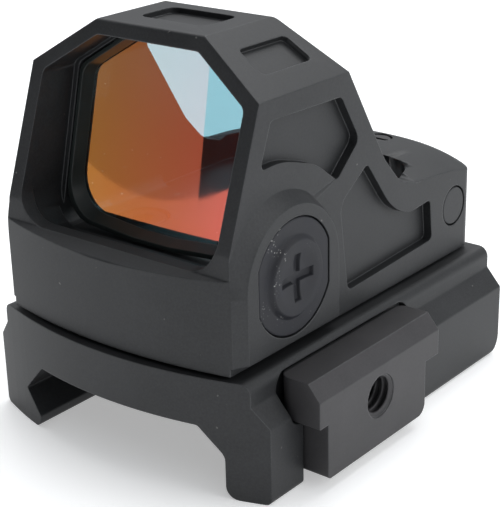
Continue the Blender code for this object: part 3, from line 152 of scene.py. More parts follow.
class Paint:
    """A material while its nodes are laid."""

    def __init__(self, name: str) -> None:
        """Starts an empty node material of that name."""
        self.material = bpy.data.materials.new(name)
        self.material.use_nodes = True
        self.tree = self.material.node_tree
        self.tree.nodes.clear()
        self.place = self.node("ShaderNodeTexCoord").outputs["Object"]

    def node(
        self,
        kind: str,
        settings: dict[str, object] | None = None,
        sockets: dict[str | int, object] | None = None,
    ) -> bpy.types.Node:
        """Adds a node.

        Args:
            kind: The node's type.
            settings: Its properties, set first.
            sockets: Values or links of its inputs, by name or place.

        Returns:
            The node.
        """
        node = self.tree.nodes.new(kind)
        for key, value in (settings or {}).items():
            setattr(node, key, value)
        for key, value in (sockets or {}).items():
            if isinstance(value, Wire):
                self.tree.links.new(value.socket, node.inputs[key])
            elif isinstance(value, bpy.types.NodeSocket):
                self.tree.links.new(value, node.inputs[key])
            else:
                node.inputs[key].default_value = value
        return node

    def wire(self, socket: bpy.types.NodeSocket) -> Wire:
        """The socket as a Wire."""
        return Wire(self.tree, socket)

    def noise(self, scale: float, detail: float = 2.0, roughness: float = 0.5) -> Wire:
        """Cloudy noise over the piece.

        Args:
            scale: Waves per metre.
            detail: Octaves.
            roughness: Share of the finer octaves.

        Returns:
            A value about 0.5.
        """
        made = self.node(
            "ShaderNodeTexNoise",
            {"noise_dimensions": "3D"},
            {"Vector": self.place, "Scale": scale, "Detail": detail, "Roughness": roughness},
        )
        return self.wire(made.outputs["Fac"])

    def axis(self, name: str) -> Wire:
        """One coordinate of the piece's own place, in metres."""
        return self.wire(self.node("ShaderNodeSeparateXYZ", None, {"Vector": self.place}).outputs[name])

    def blend(self, share: Wire | float, low: object, high: object) -> bpy.types.NodeSocket:
        """Colour between low and high.

        Args:
            share: 0 for low, 1 for high.
            low: Colour or socket.
            high: Colour or socket.

        Returns:
            The mixed colour's socket.
        """
        made = self.node("ShaderNodeMix", {"data_type": "RGBA", "clamp_factor": True})
        ends = {0: share, 6: low, 7: high}
        for index, value in ends.items():
            target = made.inputs[index]
            if isinstance(value, Wire):
                self.tree.links.new(value.socket, target)
            elif isinstance(value, bpy.types.NodeSocket):
                self.tree.links.new(value, target)
            elif isinstance(value, float):
                target.default_value = value
            else:
                target.default_value = (*value, 1.0)
        return made.outputs[2]

    def edge(self, radius: float, gain: float) -> tuple[bpy.types.NodeSocket, Wire]:
        """Rounded normal near edges, and a mask that is 1 on them.

        Args:
            radius: How far from an edge the rounding reaches, in metres.
            gain: Strength of the mask.

        Returns:
            The rounded normal's socket and the mask.
        """
        soft = self.node("ShaderNodeBevel", {"samples": 6}, {"Radius": radius}).outputs[0]
        flat = self.node("ShaderNodeNewGeometry").outputs["Normal"]
        dot = self.node("ShaderNodeVectorMath", {"operation": "DOT_PRODUCT"}, {0: soft, 1: flat})
        return soft, ((1.0 - self.wire(dot.outputs["Value"])) * gain).clamped()

    def bump(
        self, height: Wire, depth: float, strength: float, normal: object = None
    ) -> bpy.types.NodeSocket:
        """Normal roughened by a height.

        Args:
            height: The relief, 0 to 1.
            depth: Its real depth, in metres.
            strength: Share of it that shows.
            normal: Normal to start from.

        Returns:
            The normal's socket.
        """
        sockets: dict[str | int, object] = {"Height": height, "Distance": depth, "Strength": strength}
        if normal is not None:
            sockets["Normal"] = normal
        return self.node("ShaderNodeBump", None, sockets).outputs[0]

    def principled(self, sockets: dict[str | int, object]) -> bpy.types.NodeSocket:
        """A Principled shader with these inputs; a colour of three numbers is made opaque."""
        ready = {
            key: (*value, 1.0) if isinstance(value, tuple) else value for key, value in sockets.items()
        }
        return self.node("ShaderNodeBsdfPrincipled", None, ready).outputs[0]

    def see_through(self, tint: Colour) -> bpy.types.NodeSocket:
        """A transparent shader of that tint."""
        return self.node("ShaderNodeBsdfTransparent", None, {"Color": (*tint, 1.0)}).outputs[0]

    def mix(
        self, share: Wire | float, low: bpy.types.NodeSocket, high: bpy.types.NodeSocket
    ) -> bpy.types.NodeSocket:
        """Shader between low, at a share of 0, and high, at 1."""
        return self.node("ShaderNodeMixShader", None, {0: share, 1: low, 2: high}).outputs[0]

    def glowing(
        self, shade: object, roughness: float, glow: object, strength: float
    ) -> bpy.types.Material:
        """Finishes the material as a matt surface with a light of its own.

        Args:
            shade: Its colour or socket.
            roughness: Its roughness.
            glow: Colour or socket of its light.
            strength: Strength of that light.

        Returns:
            The material.
        """
        sockets = {
            "Base Color": shade,
            "Roughness": roughness,
            "Emission Color": glow,
            "Emission Strength": strength,
        }
        return self.done(self.principled(sockets))

    def done(self, shader: bpy.types.NodeSocket) -> bpy.types.Material:
        """Joins the shader to the output and returns the material."""
        self.node("ShaderNodeOutputMaterial", None, {"Surface": shader})
        return self.material


# ---------------------------------------------------------------- finishes


@dataclass(frozen=True)
class Anodised:
    """Bead-blasted and anodised aluminium with thin edges painted paler, partly wear and partly a
    painted highlight.
    """

    name: str
    dark: Colour
    light: Colour
    edge_tint: Colour = (0.16, 0.165, 0.17)
    roughness: float = 0.5
    metallic: float = 0.35
    edge_radius: float = 0.16 * MM
    edge_share: float = 0.55
    grain_scale: float = 5200.0
    grain_depth: float = 0.004 * MM
    speck_scale: float = 1500.0
    speck_tint: Colour = (0.35, 0.34, 0.32)
    mottle_scale: float = 160.0
    wear_and_highlight_scale: float = 620.0

    def material(self) -> bpy.types.Material:
        """Mottled shade, fine grain, edges painted paler as wear and as a highlight, and a few pale
        specks of dust.

        Returns:
            The material.
        """
        paint = Paint(self.name)
        mottle = paint.noise(self.mottle_scale, 4.0, 0.6)
        grain = paint.noise(self.grain_scale, 2.0, 0.6)
        soft, edge = paint.edge(self.edge_radius, 2.6)
        # Edge mark: partly wear, partly a painted highlight that lightens the thin edges.
        wear_and_edge_highlight = edge * (0.45 + 0.9 * paint.noise(self.wear_and_highlight_scale, 3.0))
        specks = paint.noise(self.speck_scale, 1.0).above(0.79, 0.83)
        shade = paint.blend(mottle.above(0.3, 0.7), self.dark, self.light)
        shade = paint.blend(grain.above(0.35, 0.75) * 0.07, shade, self.edge_tint)
        # Painted highlight and wear: the edges are mixed toward the paler edge tint.
        shade = paint.blend(wear_and_edge_highlight * self.edge_share, shade, self.edge_tint)
        shade = paint.blend(specks * 0.35, shade, self.speck_tint)
        rough = self.roughness + 0.1 * (mottle - 0.5) + 0.05 * (grain - 0.5) - 0.12 * wear_and_edge_highlight
        normal = paint.bump(grain, self.grain_depth, 0.5, soft)
        shader = paint.principled(
            {"Base Color": shade, "Roughness": rough, "Metallic": self.metallic, "Normal": normal}
        )
        return paint.done(shader)


@dataclass(frozen=True)
class Rubber:
    """Moulded rubber with a soft bloom and caught dust."""

    name: str
    dark: Colour
    light: Colour
    dust: float = 0.8
    dust_tint: Colour = (0.55, 0.55, 0.53)
    dust_scale: float = 5200.0
    cluster_scale: float = 330.0
    bloom_scale: float = 420.0
    grain_scale: float = 7000.0
    relief_depth: float = 0.02 * MM
    roughness: float = 0.62

    def material(self) -> bpy.types.Material:
        """Matte rubber, uneven in shade, with small clusters of white dust.

        Returns:
            The material.
        """
        paint = Paint(self.name)
        bloom = paint.noise(self.bloom_scale, 4.0, 0.65)
        grain = paint.noise(self.grain_scale, 2.0)
        cluster = paint.noise(self.cluster_scale, 2.0).above(0.56, 0.64)
        specks = paint.noise(self.dust_scale, 1.0).above(0.66, 0.72) * cluster
        shade = paint.blend(bloom.above(0.3, 0.75), self.dark, self.light)
        shade = paint.blend(specks * self.dust, shade, self.dust_tint)
        normal = paint.bump(grain * 0.6 + bloom * 0.4, self.relief_depth, 0.35)
        shader = paint.principled(
            {
                "Base Color": shade,
                "Roughness": self.roughness + 0.2 * (bloom - 0.5),
                "Normal": normal,
                "Specular IOR Level": 0.45,
            }
        )
        return paint.done(shader)


@dataclass(frozen=True)
class Turned:
    """Machined metal with fine marks and edges painted paler, partly wear and partly a painted
    highlight.
    """

    name: str
    dark: Colour
    light: Colour
    roughness: float = 0.34
    metallic: float = 1.0
    edge_radius: float = 0.1 * MM
    mark_scale: float = 5200.0
    mark_depth: float = 0.01 * MM

    def material(self) -> bpy.types.Material:
        """Fine turning marks, edges painted paler as light wear and as a highlight, and an uneven
        sheen.

        Returns:
            The material.
        """
        paint = Paint(self.name)
        cloud = paint.noise(300.0, 3.0, 0.6)
        marks = paint.noise(self.mark_scale, 2.0, 0.6)
        soft, edge = paint.edge(self.edge_radius, 2.0)
        shade = paint.blend(cloud.above(0.3, 0.7), self.dark, self.light)
        # Paler edges: partly wear, partly a painted highlight.
        pale = tuple(min(1.0, 2.2 * value + 0.08) for value in self.light)
        shade = paint.blend(edge * 0.5, shade, pale)
        rough = self.roughness + 0.2 * (cloud - 0.5) + 0.12 * (marks - 0.5)
        normal = paint.bump(marks, self.mark_depth, 0.35, soft)
        shader = paint.principled(
            {"Base Color": shade, "Roughness": rough, "Metallic": self.metallic, "Normal": normal}
        )
        return paint.done(shader)


@dataclass(frozen=True)
class Moulded:
    """Plain moulded plastic or lacquer."""

    name: str
    dark: Colour
    light: Colour
    roughness: float = 0.4
    coat: float = 0.0
    edge_radius: float = 0.12 * MM
    grain_scale: float = 4200.0
    grain_depth: float = 0.006 * MM

    def material(self) -> bpy.types.Material:
        """Slightly uneven shade with a fine moulded grain, and edges painted paler as a highlight.

        Returns:
            The material.
        """
        paint = Paint(self.name)
        cloud = paint.noise(260.0, 4.0, 0.6)
        grain = paint.noise(self.grain_scale, 2.0)
        soft, edge = paint.edge(self.edge_radius, 2.0)
        shade = paint.blend(cloud.above(0.3, 0.7), self.dark, self.light)
        # Painted highlight: the edges are mixed toward a paler tint.
        pale = tuple(min(1.0, 2.0 * value + 0.03) for value in self.light)
        shade = paint.blend(edge * 0.4, shade, pale)
        shader = paint.principled(
            {
                "Base Color": shade,
                "Roughness": self.roughness + 0.16 * (cloud - 0.5),
                "Normal": paint.bump(grain, self.grain_depth, 0.3, soft),
                "Coat Weight": self.coat,
            }
        )
        return paint.done(shader)


@dataclass(frozen=True)
class CoatedLens:
    """Combiner glass: its front face reflects amber to red and lets blue-green through."""

    name: str
    left_tint: Colour = (0.52, 0.20, 0.04)
    right_tint: Colour = (0.64, 0.10, 0.065)
    through_tint: Colour = (0.20, 0.40, 0.46)
    clear_tint: Colour = (0.97, 0.985, 0.98)
    dust_tint: Colour = (0.9, 0.88, 0.85)
    gloss_tint: Colour = (0.9, 0.95, 0.95)
    gloss_share: float = 0.015
    plane_slope: float = 0.25
    half_width: float = 9.0 * MM
    flat_place: float = 3.2 * MM
    curve: float = 30.0
    level_share: float = -0.11

    def reflecting_normal(self, paint: Paint) -> bpy.types.NodeSocket:
        """Normal of a shallow bowl: the front's own, turned by curve times the distance in X.

        A share of the turn leans it back down, so that a level line still reflects level.

        Args:
            paint: The material being laid.

        Returns:
            The normal's socket.
        """
        flat = paint.node("ShaderNodeNewGeometry").outputs["Normal"]
        turn = (self.flat_place - paint.axis("X")) * self.curve
        leans = {"X": turn, "Z": turn * self.level_share}
        lean = paint.node("ShaderNodeCombineXYZ", None, leans).outputs[0]
        both = paint.node("ShaderNodeVectorMath", {"operation": "ADD"}, {0: flat, 1: lean}).outputs[0]
        return paint.node("ShaderNodeVectorMath", {"operation": "NORMALIZE"}, {0: both}).outputs[0]

    def material(self) -> bpy.types.Material:
        """Adds a tinted reflection to tinted see-through on the front face; the rest is clear.

        Returns:
            The material.
        """
        paint = Paint(self.name)
        across = paint.axis("X").above(-self.half_width, 0.75 * self.half_width)
        haze = paint.noise(240.0, 3.0)
        tint = paint.blend(across + 0.08 * (haze - 0.5), self.left_tint, self.right_tint)
        specks = paint.noise(3800.0, 1.0).above(0.775, 0.8)
        tint = paint.blend(specks * 0.5, tint, self.dust_tint)
        mirror = paint.principled(
            {
                "Base Color": tint,
                "Metallic": 1.0,
                "Roughness": 0.025 + 0.04 * haze.above(0.4, 0.8),
                "Normal": self.reflecting_normal(paint),
            }
        )
        through = paint.see_through(self.through_tint)
        coated = paint.node("ShaderNodeAddShader", None, {0: through, 1: mirror}).outputs[0]
        clear = paint.see_through(self.clear_tint)
        gloss = paint.principled({"Base Color": self.gloss_tint, "Roughness": 0.04, "Metallic": 1.0})
        glass = paint.mix(self.gloss_share, clear, gloss)
        normal = paint.node("ShaderNodeNewGeometry").outputs["True Normal"]
        facing = paint.wire(paint.node("ShaderNodeSeparateXYZ", None, {"Vector": normal}).outputs["Y"])
        depth = paint.axis("Y") - self.plane_slope * paint.axis("Z")
        front = depth.above(self.front_depth() + 0.3 * MM, self.front_depth() + 0.2 * MM)
        level = (facing * facing).above(0.55, 0.6)
        coating = (front * level).clamped()
        return paint.done(paint.mix(coating, glass, coated))

    def front_depth(self) -> float:
        """How far forward the lens's front plane lies, as y less the slope times z along it."""
        low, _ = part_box("lens")
        return low.y - self.plane_slope * low.z


@dataclass(frozen=True)
class ClearPane:
    """Small clear window."""

    name: str
    tint: Colour = (0.86, 0.9, 0.9)
    gloss_tint: Colour = (0.75, 0.8, 0.8)

    def material(self) -> bpy.types.Material:
        """Clear pane with a soft gloss that varies a little.

        Returns:
            The material.
        """
        paint = Paint(self.name)
        haze = paint.noise(700.0, 3.0)
        clear = paint.see_through(self.tint)
        gloss = paint.principled(
            {"Base Color": self.gloss_tint, "Roughness": 0.05 + 0.1 * haze, "Metallic": 1.0}
        )
        return paint.done(paint.mix(0.1 + 0.06 * haze, clear, gloss))


DARK_METAL = (0.016, 0.017, 0.0185)
PALE_METAL = (0.026, 0.027, 0.029)


class Finish(Enum):
    """Every finish on the sight, by the record's material slot."""

    BODY = ("anodised_body", Anodised("body anodising", DARK_METAL, PALE_METAL))
    MOUNT = ("anodised_mount", Anodised("mount anodising", DARK_METAL, PALE_METAL))
    JAW = ("anodised_jaw", Anodised("jaw anodising", (0.034, 0.033, 0.035), (0.050, 0.048, 0.051)))
    GLASS = ("coated_glass", CoatedLens("coated lens"))
    RING = ("black_ring", Moulded("lens ring", (0.012, 0.016, 0.015), (0.022, 0.027, 0.026), 0.36))
    PANE = ("clear_glass", ClearPane("emitter pane"))
    KEY = ("button_rubber", Rubber("key rubber", (0.006, 0.0065, 0.010), (0.012, 0.013, 0.019)))
    SEAL = ("seal_rubber", Rubber("seal rubber", (0.012, 0.012, 0.012), (0.02, 0.02, 0.02), 0.2))
    PLUNGER = ("plunger_plastic", Moulded("plunger", (0.4, 0.38, 0.33), (0.48, 0.46, 0.4), 0.5))
    SWITCH = ("switch_case", Turned("switch case", (0.38, 0.38, 0.39), (0.5, 0.5, 0.51)))
    BOARD = (
        "board_green",
        Moulded("board lacquer", (0.012, 0.08, 0.03), (0.025, 0.14, 0.06), 0.3, 0.4),
    )
    CELL = ("cell_steel", Turned("cell can", (0.5, 0.5, 0.51), (0.64, 0.64, 0.65)))
    CONTACT = ("contact_gold", Turned("contact plating", (0.7, 0.52, 0.2), (0.85, 0.68, 0.3)))
    STEEL = ("bright_steel", Turned("bright steel", (0.48, 0.48, 0.49), (0.6, 0.6, 0.61)))
    BLACK_STEEL = ("black_steel", Turned("black steel", (0.03, 0.03, 0.033), (0.055, 0.055, 0.06), 0.4))
    BRASS = ("carriage_brass", Turned("carriage brass", (0.5, 0.36, 0.14), (0.66, 0.5, 0.22)))
    EMITTER = ("emitter_red", Moulded("emitter lens", (0.4, 0.01, 0.01), (0.6, 0.03, 0.02), 0.2, 0.5))

    @property
    def slot(self) -> str:
        """The record's material slot."""
        return self.value[0]

    def made(self) -> bpy.types.Material:
        """The finish's one material, built the first time it is asked for."""
        name = self.value[1].name
        return bpy.data.materials.get(name) or self.value[1].material()


# ---------------------------------------------------------------- surfaces


def smoothstep(value: Array) -> Array:
    """Eased step: 3t^2 - 2t^3 of the value held between 0 and 1."""
    held = np.clip(value, 0.0, 1.0)
    return held * held * (3.0 - 2.0 * held)


def linked(name: str, data: bpy.types.ID) -> bpy.types.Object:
    """New object for the data, linked to the scene."""
    made = bpy.data.objects.new(name, data)
    bpy.context.scene.collection.objects.link(made)
    return made


def grid_mesh(name: str, points: Array, wrap_rows: bool = False) -> bpy.types.Object:
    """Mesh from a grid of points that closes round its second parameter.

    Quads join row i to row i + 1 and column j to column j + 1, with the columns taken in a ring.
    Points that fall together, at a pole or a seam, are merged.

    Args:
        name: Name of the piece.
        points: Array of rows, columns and xyz.
        wrap_rows: Whether the last row joins the first too.

    Returns:
        The linked object.
    """
    rows, columns = points.shape[:2]
    last = rows if wrap_rows else rows - 1
    row, column = np.meshgrid(np.arange(last), np.arange(columns), indexing="ij")
    after_row, after_column = (row + 1) % rows, (column + 1) % columns
    quads = np.stack(
        [
            row * columns + column,
            row * columns + after_column,
            after_row * columns + after_column,
            after_row * columns + column,
        ],
        axis=-1,
    ).reshape(-1, 4)
    mesh = bpy.data.meshes.new(name)
    mesh.from_pydata(points.reshape(-1, 3).tolist(), [], quads.tolist())
    build = bmesh.new()
    build.from_mesh(mesh)
    bmesh.ops.remove_doubles(build, verts=build.verts, dist=1e-7)
    bmesh.ops.recalc_face_normals(build, faces=build.faces)
    build.to_mesh(mesh)
    build.free()
    mesh.shade_smooth()
    return linked(name, mesh)


def strip_mesh(name: str, points: Array) -> bpy.types.Object:
    """Open sheet from a grid of points, with quads between neighbouring rows and columns.

    Args:
        name: Name of the piece.
        points: Array of rows, columns and xyz.

    Returns:
        The linked object.
    """
    rows, columns = points.shape[:2]
    row, column = np.meshgrid(np.arange(rows - 1), np.arange(columns - 1), indexing="ij")
    corner = row * columns + column
    quads = np.stack([corner, corner + 1, corner + columns + 1, corner + columns], axis=-1)
    mesh = bpy.data.meshes.new(name)
    mesh.from_pydata(points.reshape(-1, 3).tolist(), [], quads.reshape(-1, 4).tolist())
    mesh.shade_smooth()
    return linked(name, mesh)


def smooth_copy(node: str, name: str, angle: float = CORNER_ANGLE) -> bpy.types.Object:
    """Merged copy of a frame node, smooth over its curves and sharp at its corners.

    Args:
        node: Name of the frame node.
        name: Name of the new piece.
        angle: Corner angle in degrees above which an edge stays sharp.

    Returns:
        The linked object.
    """
    build = bmesh.new()
    build.from_mesh(frame["nodes"][node].data)
    bmesh.ops.remove_doubles(build, verts=build.verts, dist=MERGE_REACH)
    bmesh.ops.dissolve_degenerate(build, edges=build.edges, dist=MERGE_REACH / 2)
    bmesh.ops.dissolve_limit(build, angle_limit=FLAT_ANGLE, verts=build.verts, edges=build.edges)
    mesh = bpy.data.meshes.new(name)
    build.to_mesh(mesh)
    build.free()
    mesh.materials.clear()
    mesh.shade_smooth()
    mesh.set_sharp_from_angle(angle=math.radians(angle))
    piece = linked(name, mesh)
    even = piece.modifiers.new("even normals", "WEIGHTED_NORMAL")
    even.keep_sharp = True
    return piece


def body_of(node: str) -> str:
    """The body that a frame node rides on."""
    groups = frame["record"]["behaviour"]["bodies"]
    return next(body for body, members in groups.items() if node in members)


def dress(piece: bpy.types.Object, finish: Finish, node: str) -> bpy.types.Object:
    """Gives a new piece its finish and its body, and hides the frame node that it stands for.

    Args:
        piece: The new piece.
        finish: Its finish.
        node: The frame node that it replaces.

    Returns:
        The piece.
    """
    piece.data.materials.append(finish.made())
    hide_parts(node)
    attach(piece, body_of(node))
    LOG.info("%s stands for %s: %d faces, %s", piece.name, node, len(piece.data.polygons), finish.slot)
    return piece


def paint_node(node: str, finish: Finish) -> None:
    """Gives a frame node that stays in view its finish."""
    mesh = frame["nodes"][node].data
    mesh.materials.clear()
    mesh.materials.append(finish.made())
    LOG.info("%s painted: %s", node, finish.slot)


# ---------------------------------------------------------------- pieces of the sight


@dataclass
class Shell:
    """Machined housing, mount and jaw, each a smooth copy of its solid."""

    parts: dict[str, tuple[str, Finish]] = field(
        default_factory=lambda: {
            "sight_housing": ("machined_housing", Finish.BODY),
            "mount_base": ("rail_mount", Finish.MOUNT),
            "clamp_jaw": ("jaw_block", Finish.JAW),
            "side_plug": ("flush_plug", Finish.BODY),
        }
    )

    def build(self) -> None:
        """Copies and dresses each machined piece."""
        for node, (name, finish) in self.parts.items():
            dress(smooth_copy(node, name), finish, node)


@dataclass
class PressKey:
    """Rubber key: a flatted pad, a raised ring with a dished middle and a sunk sign."""

    node: str
    side: int
    plus: bool
    raise_height: float = 0.42 * MM
    ring_radius: float = 3.35 * MM
    ring_foot: float = 0.5 * MM
    ring_crest: float = 2.75 * MM
    dish_depth: float = 0.24 * MM
    sign_arm: float = 1.95 * MM
    sign_half: float = 0.37 * MM
    sign_depth: float = 0.34 * MM
    sign_edge: float = 0.13 * MM
    lip_radius: float = 0.16 * MM
    rows: int = 150
    columns: int = 256

    def outline(self, turn: Array, radius: float, flat: float) -> Array:
        """Distance to the rim: the circle's radius, cut short where the upright flats come first."""
        return np.minimum(radius, flat / np.maximum(np.abs(np.cos(turn)), 1e-6))

    def relief(self, along: Array, up: Array) -> Array:
        """Height over the pad at a point.

        A step eases up over the ring's foot, falls by an eased slope from the crest to the dished
        middle, and drops inside the sign, whose distance is the larger of the two overruns of a bar.

        Args:
            along: Distance from the key's centre along Y.
            up: Distance from it along Z.

        Returns:
            Height in metres.
        """
        radius = np.hypot(along, up)
        step = smoothstep((self.ring_radius + 0.35 * self.ring_foot - radius) / self.ring_foot)
        dish = smoothstep((self.ring_crest - radius) / (0.62 * self.ring_crest))
        level = np.maximum(np.abs(along) - self.sign_arm, np.abs(up) - self.sign_half)
        upright = np.maximum(np.abs(along) - self.sign_half, np.abs(up) - self.sign_arm)
        reach = np.minimum(level, upright) if self.plus else level
        sign = smoothstep(0.5 - reach / self.sign_edge)
        return self.raise_height * step - self.dish_depth * dish - self.sign_depth * sign

    def build(self) -> bpy.types.Object:
        """Lays the key as rings from the middle of its face, over the lip, down the side and back.

        Returns:
            The dressed piece.
        """
        low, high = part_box(self.node)
        radius, flat = (high.z - low.z) / 2, (high.y - low.y) / 2
        middle_y, middle_z = (high.y + low.y) / 2, (high.z + low.z) / 2
        top, back = (high.x, low.x) if self.side > 0 else (-low.x, -high.x)
        face = top - self.raise_height
        turn = np.linspace(0.0, 2.0 * np.pi, self.columns, endpoint=False)[None, :]
        rim = self.outline(turn, radius, flat)
        share = np.linspace(0.0, 1.0, self.rows)[:, None]
        reach = share * (rim - self.lip_radius)
        along, up = reach * np.cos(turn), reach * np.sin(turn)
        height = face + self.relief(along, up)
        bend = np.linspace(0.0, np.pi / 2, 6)[1:, None]
        lip_reach = rim - self.lip_radius * (1 - np.sin(bend))
        lip_height = face - self.lip_radius * (1 - np.cos(bend)) + 0 * lip_reach
        tail_reach = np.concatenate([rim, 0.5 * rim, 0.0 * rim])
        tail_height = np.full_like(tail_reach, back)
        reach = np.concatenate([reach, lip_reach, tail_reach])
        height = np.concatenate([height, lip_height, tail_height])
        y, z = middle_y + reach * np.cos(turn), middle_z + reach * np.sin(turn)
        points = np.stack([self.side * height, y, z], axis=-1)
        piece = grid_mesh(f"{self.node}_pad", points)
        return dress(piece, Finish.KEY, self.node)


@dataclass
class JawThread:
    """Screw thread in the mouth of the jaw's hole."""

    major: float = 1.86 * MM
    minor: float = 1.5 * MM
    pitch: float = 0.7 * MM
    length: float = 3.0 * MM
    inset: float = 0.06 * MM
    wall: float = 0.02 * MM
    rows: int = 90
    columns: int = 96

    def build(self) -> bpy.types.Object:
        """Tube whose inner radius follows a helix: a cosine ridge of x / pitch less the turn.

        Returns:
            The dressed piece.
        """
        _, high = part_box("clamp_jaw")
        screw_low, screw_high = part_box("clamp_screw")
        middle_y, middle_z = (screw_low.y + screw_high.y) / 2, (screw_low.z + screw_high.z) / 2
        turn = np.linspace(0.0, 2.0 * np.pi, self.columns, endpoint=False)[None, :]
        start, end = high.x - self.inset - self.length, high.x - self.inset
        share = np.linspace(0.0, 1.0, self.rows)[:, None]
        spot = start + (end - start) * share
        phase = 2.0 * np.pi * (spot - start) / self.pitch - turn
        ridge = np.clip(0.5 + 0.75 * np.cos(phase), 0.0, 1.0)
        mouth = smoothstep((end - spot) / (0.4 * self.pitch))
        root = self.major - self.wall
        radius = root - (root - self.minor) * ridge * mouth
        outer = np.full_like(radius[:2], self.major)
        radius = np.concatenate([radius, outer])
        ends = [np.full_like(outer[:1], end), np.full_like(outer[:1], start)]
        spot = np.concatenate([spot + 0 * turn, *ends])
        y, z = middle_y + radius * np.cos(turn), middle_z + radius * np.sin(turn)
        points = np.stack([spot, y, z], axis=-1)
        piece = grid_mesh("jaw_thread", points, wrap_rows=True)
        piece.data.materials.append(Finish.JAW.made())
        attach(piece, body_of("clamp_jaw"))
        LOG.info("jaw_thread: %d faces", len(piece.data.polygons))
        return piece


@dataclass
class Fittings:
    """Screws, ring and washer in view, as smooth copies."""

    parts: dict[str, tuple[str, Finish]] = field(
        default_factory=lambda: {
            "lens_bezel": ("lens_ring", Finish.RING),
            "windage_screw": ("windage_adjuster", Finish.BLACK_STEEL),
            "elevation_screw": ("elevation_adjuster", Finish.JAW),
            "clamp_screw": ("cross_screw", Finish.BLACK_STEEL),
            "clamp_washer": ("cross_screw_washer", Finish.BLACK_STEEL),
            "mounting_screw_left": ("left_sight_screw", Finish.BLACK_STEEL),
            "mounting_screw_right": ("right_sight_screw", Finish.BLACK_STEEL),
        }
    )

    def build(self) -> None:
        """Copies and dresses each fitting."""
        for node, (name, finish) in self.parts.items():
            dress(smooth_copy(node, name, FITTING_CORNER_ANGLE), finish, node)


@dataclass
class Insides:
    """Nodes that stay as they are, with a finish of their own."""

    finishes: dict[str, Finish] = field(
        default_factory=lambda: {
            "lens": Finish.GLASS,
            "emitter_window": Finish.PANE,
            "main_board": Finish.BOARD,
            "coin_cell": Finish.CELL,
            "cell_contact_positive": Finish.CONTACT,
            "cell_contact_negative": Finish.CONTACT,
            "cell_gasket": Finish.SEAL,
            "board_screw_left": Finish.STEEL,
            "board_screw_right": Finish.STEEL,
            "locating_pin_left": Finish.STEEL,
            "locating_pin_right": Finish.STEEL,
            "up_plunger": Finish.PLUNGER,
            "down_plunger": Finish.PLUNGER,
            "up_switch": Finish.SWITCH,
            "down_switch": Finish.SWITCH,
            "emitter_carriage": Finish.BRASS,
            "emitter_rocker": Finish.STEEL,
            "emitter_led": Finish.EMITTER,
        }
    )

    def build(self) -> None:
        """Paints each node."""
        for node, finish in self.finishes.items():
            paint_node(node, finish)


# ---------------------------------------------------------------- studio


@dataclass(frozen=True)
class Flag:
    """Dark card that faces the object."""

    name: str
    centre: Place
    width: float
    height: float
    shade: Colour = (0.01, 0.01, 0.01)
    roughness: float = 0.9

    def build(self) -> None:
        """Lays the card across the line from its centre to the origin."""
        centre = Vector(self.centre)
        facing = (-centre).normalized()
        across = facing.cross(Vector((0, 0, 1))).normalized()
        upright = across.cross(facing)
        spots = [
            centre + across * (self.width / 2 * side) + upright * (self.height / 2 * level)
            for side, level in ((-1, -1), (1, -1), (1, 1), (-1, 1))
        ]
        mesh = bpy.data.meshes.new(self.name)
        mesh.from_pydata([tuple(spot) for spot in spots], [], [(0, 1, 2, 3)])
        card = linked(self.name, mesh)
        mesh.materials.append(Paint(self.name).glowing(self.shade, self.roughness, self.shade, 0.0))
        card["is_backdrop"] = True


@dataclass(frozen=True)
class Softbox:
    """Square soft light that faces the object."""

    name: str
    spot: Place
    size: float
    power: float

    def build(self) -> None:
        """Hangs the light at its spot, turned to the origin."""
        data = bpy.data.lights.new(self.name, "AREA")
        data.shape = "SQUARE"
        data.size = self.size
        data.energy = self.power
        lamp = linked(self.name, data)
        lamp.location = self.spot
        lamp.rotation_mode = "QUATERNION"
        lamp.rotation_quaternion = (-Vector(self.spot)).to_track_quat("-Z", "Y")


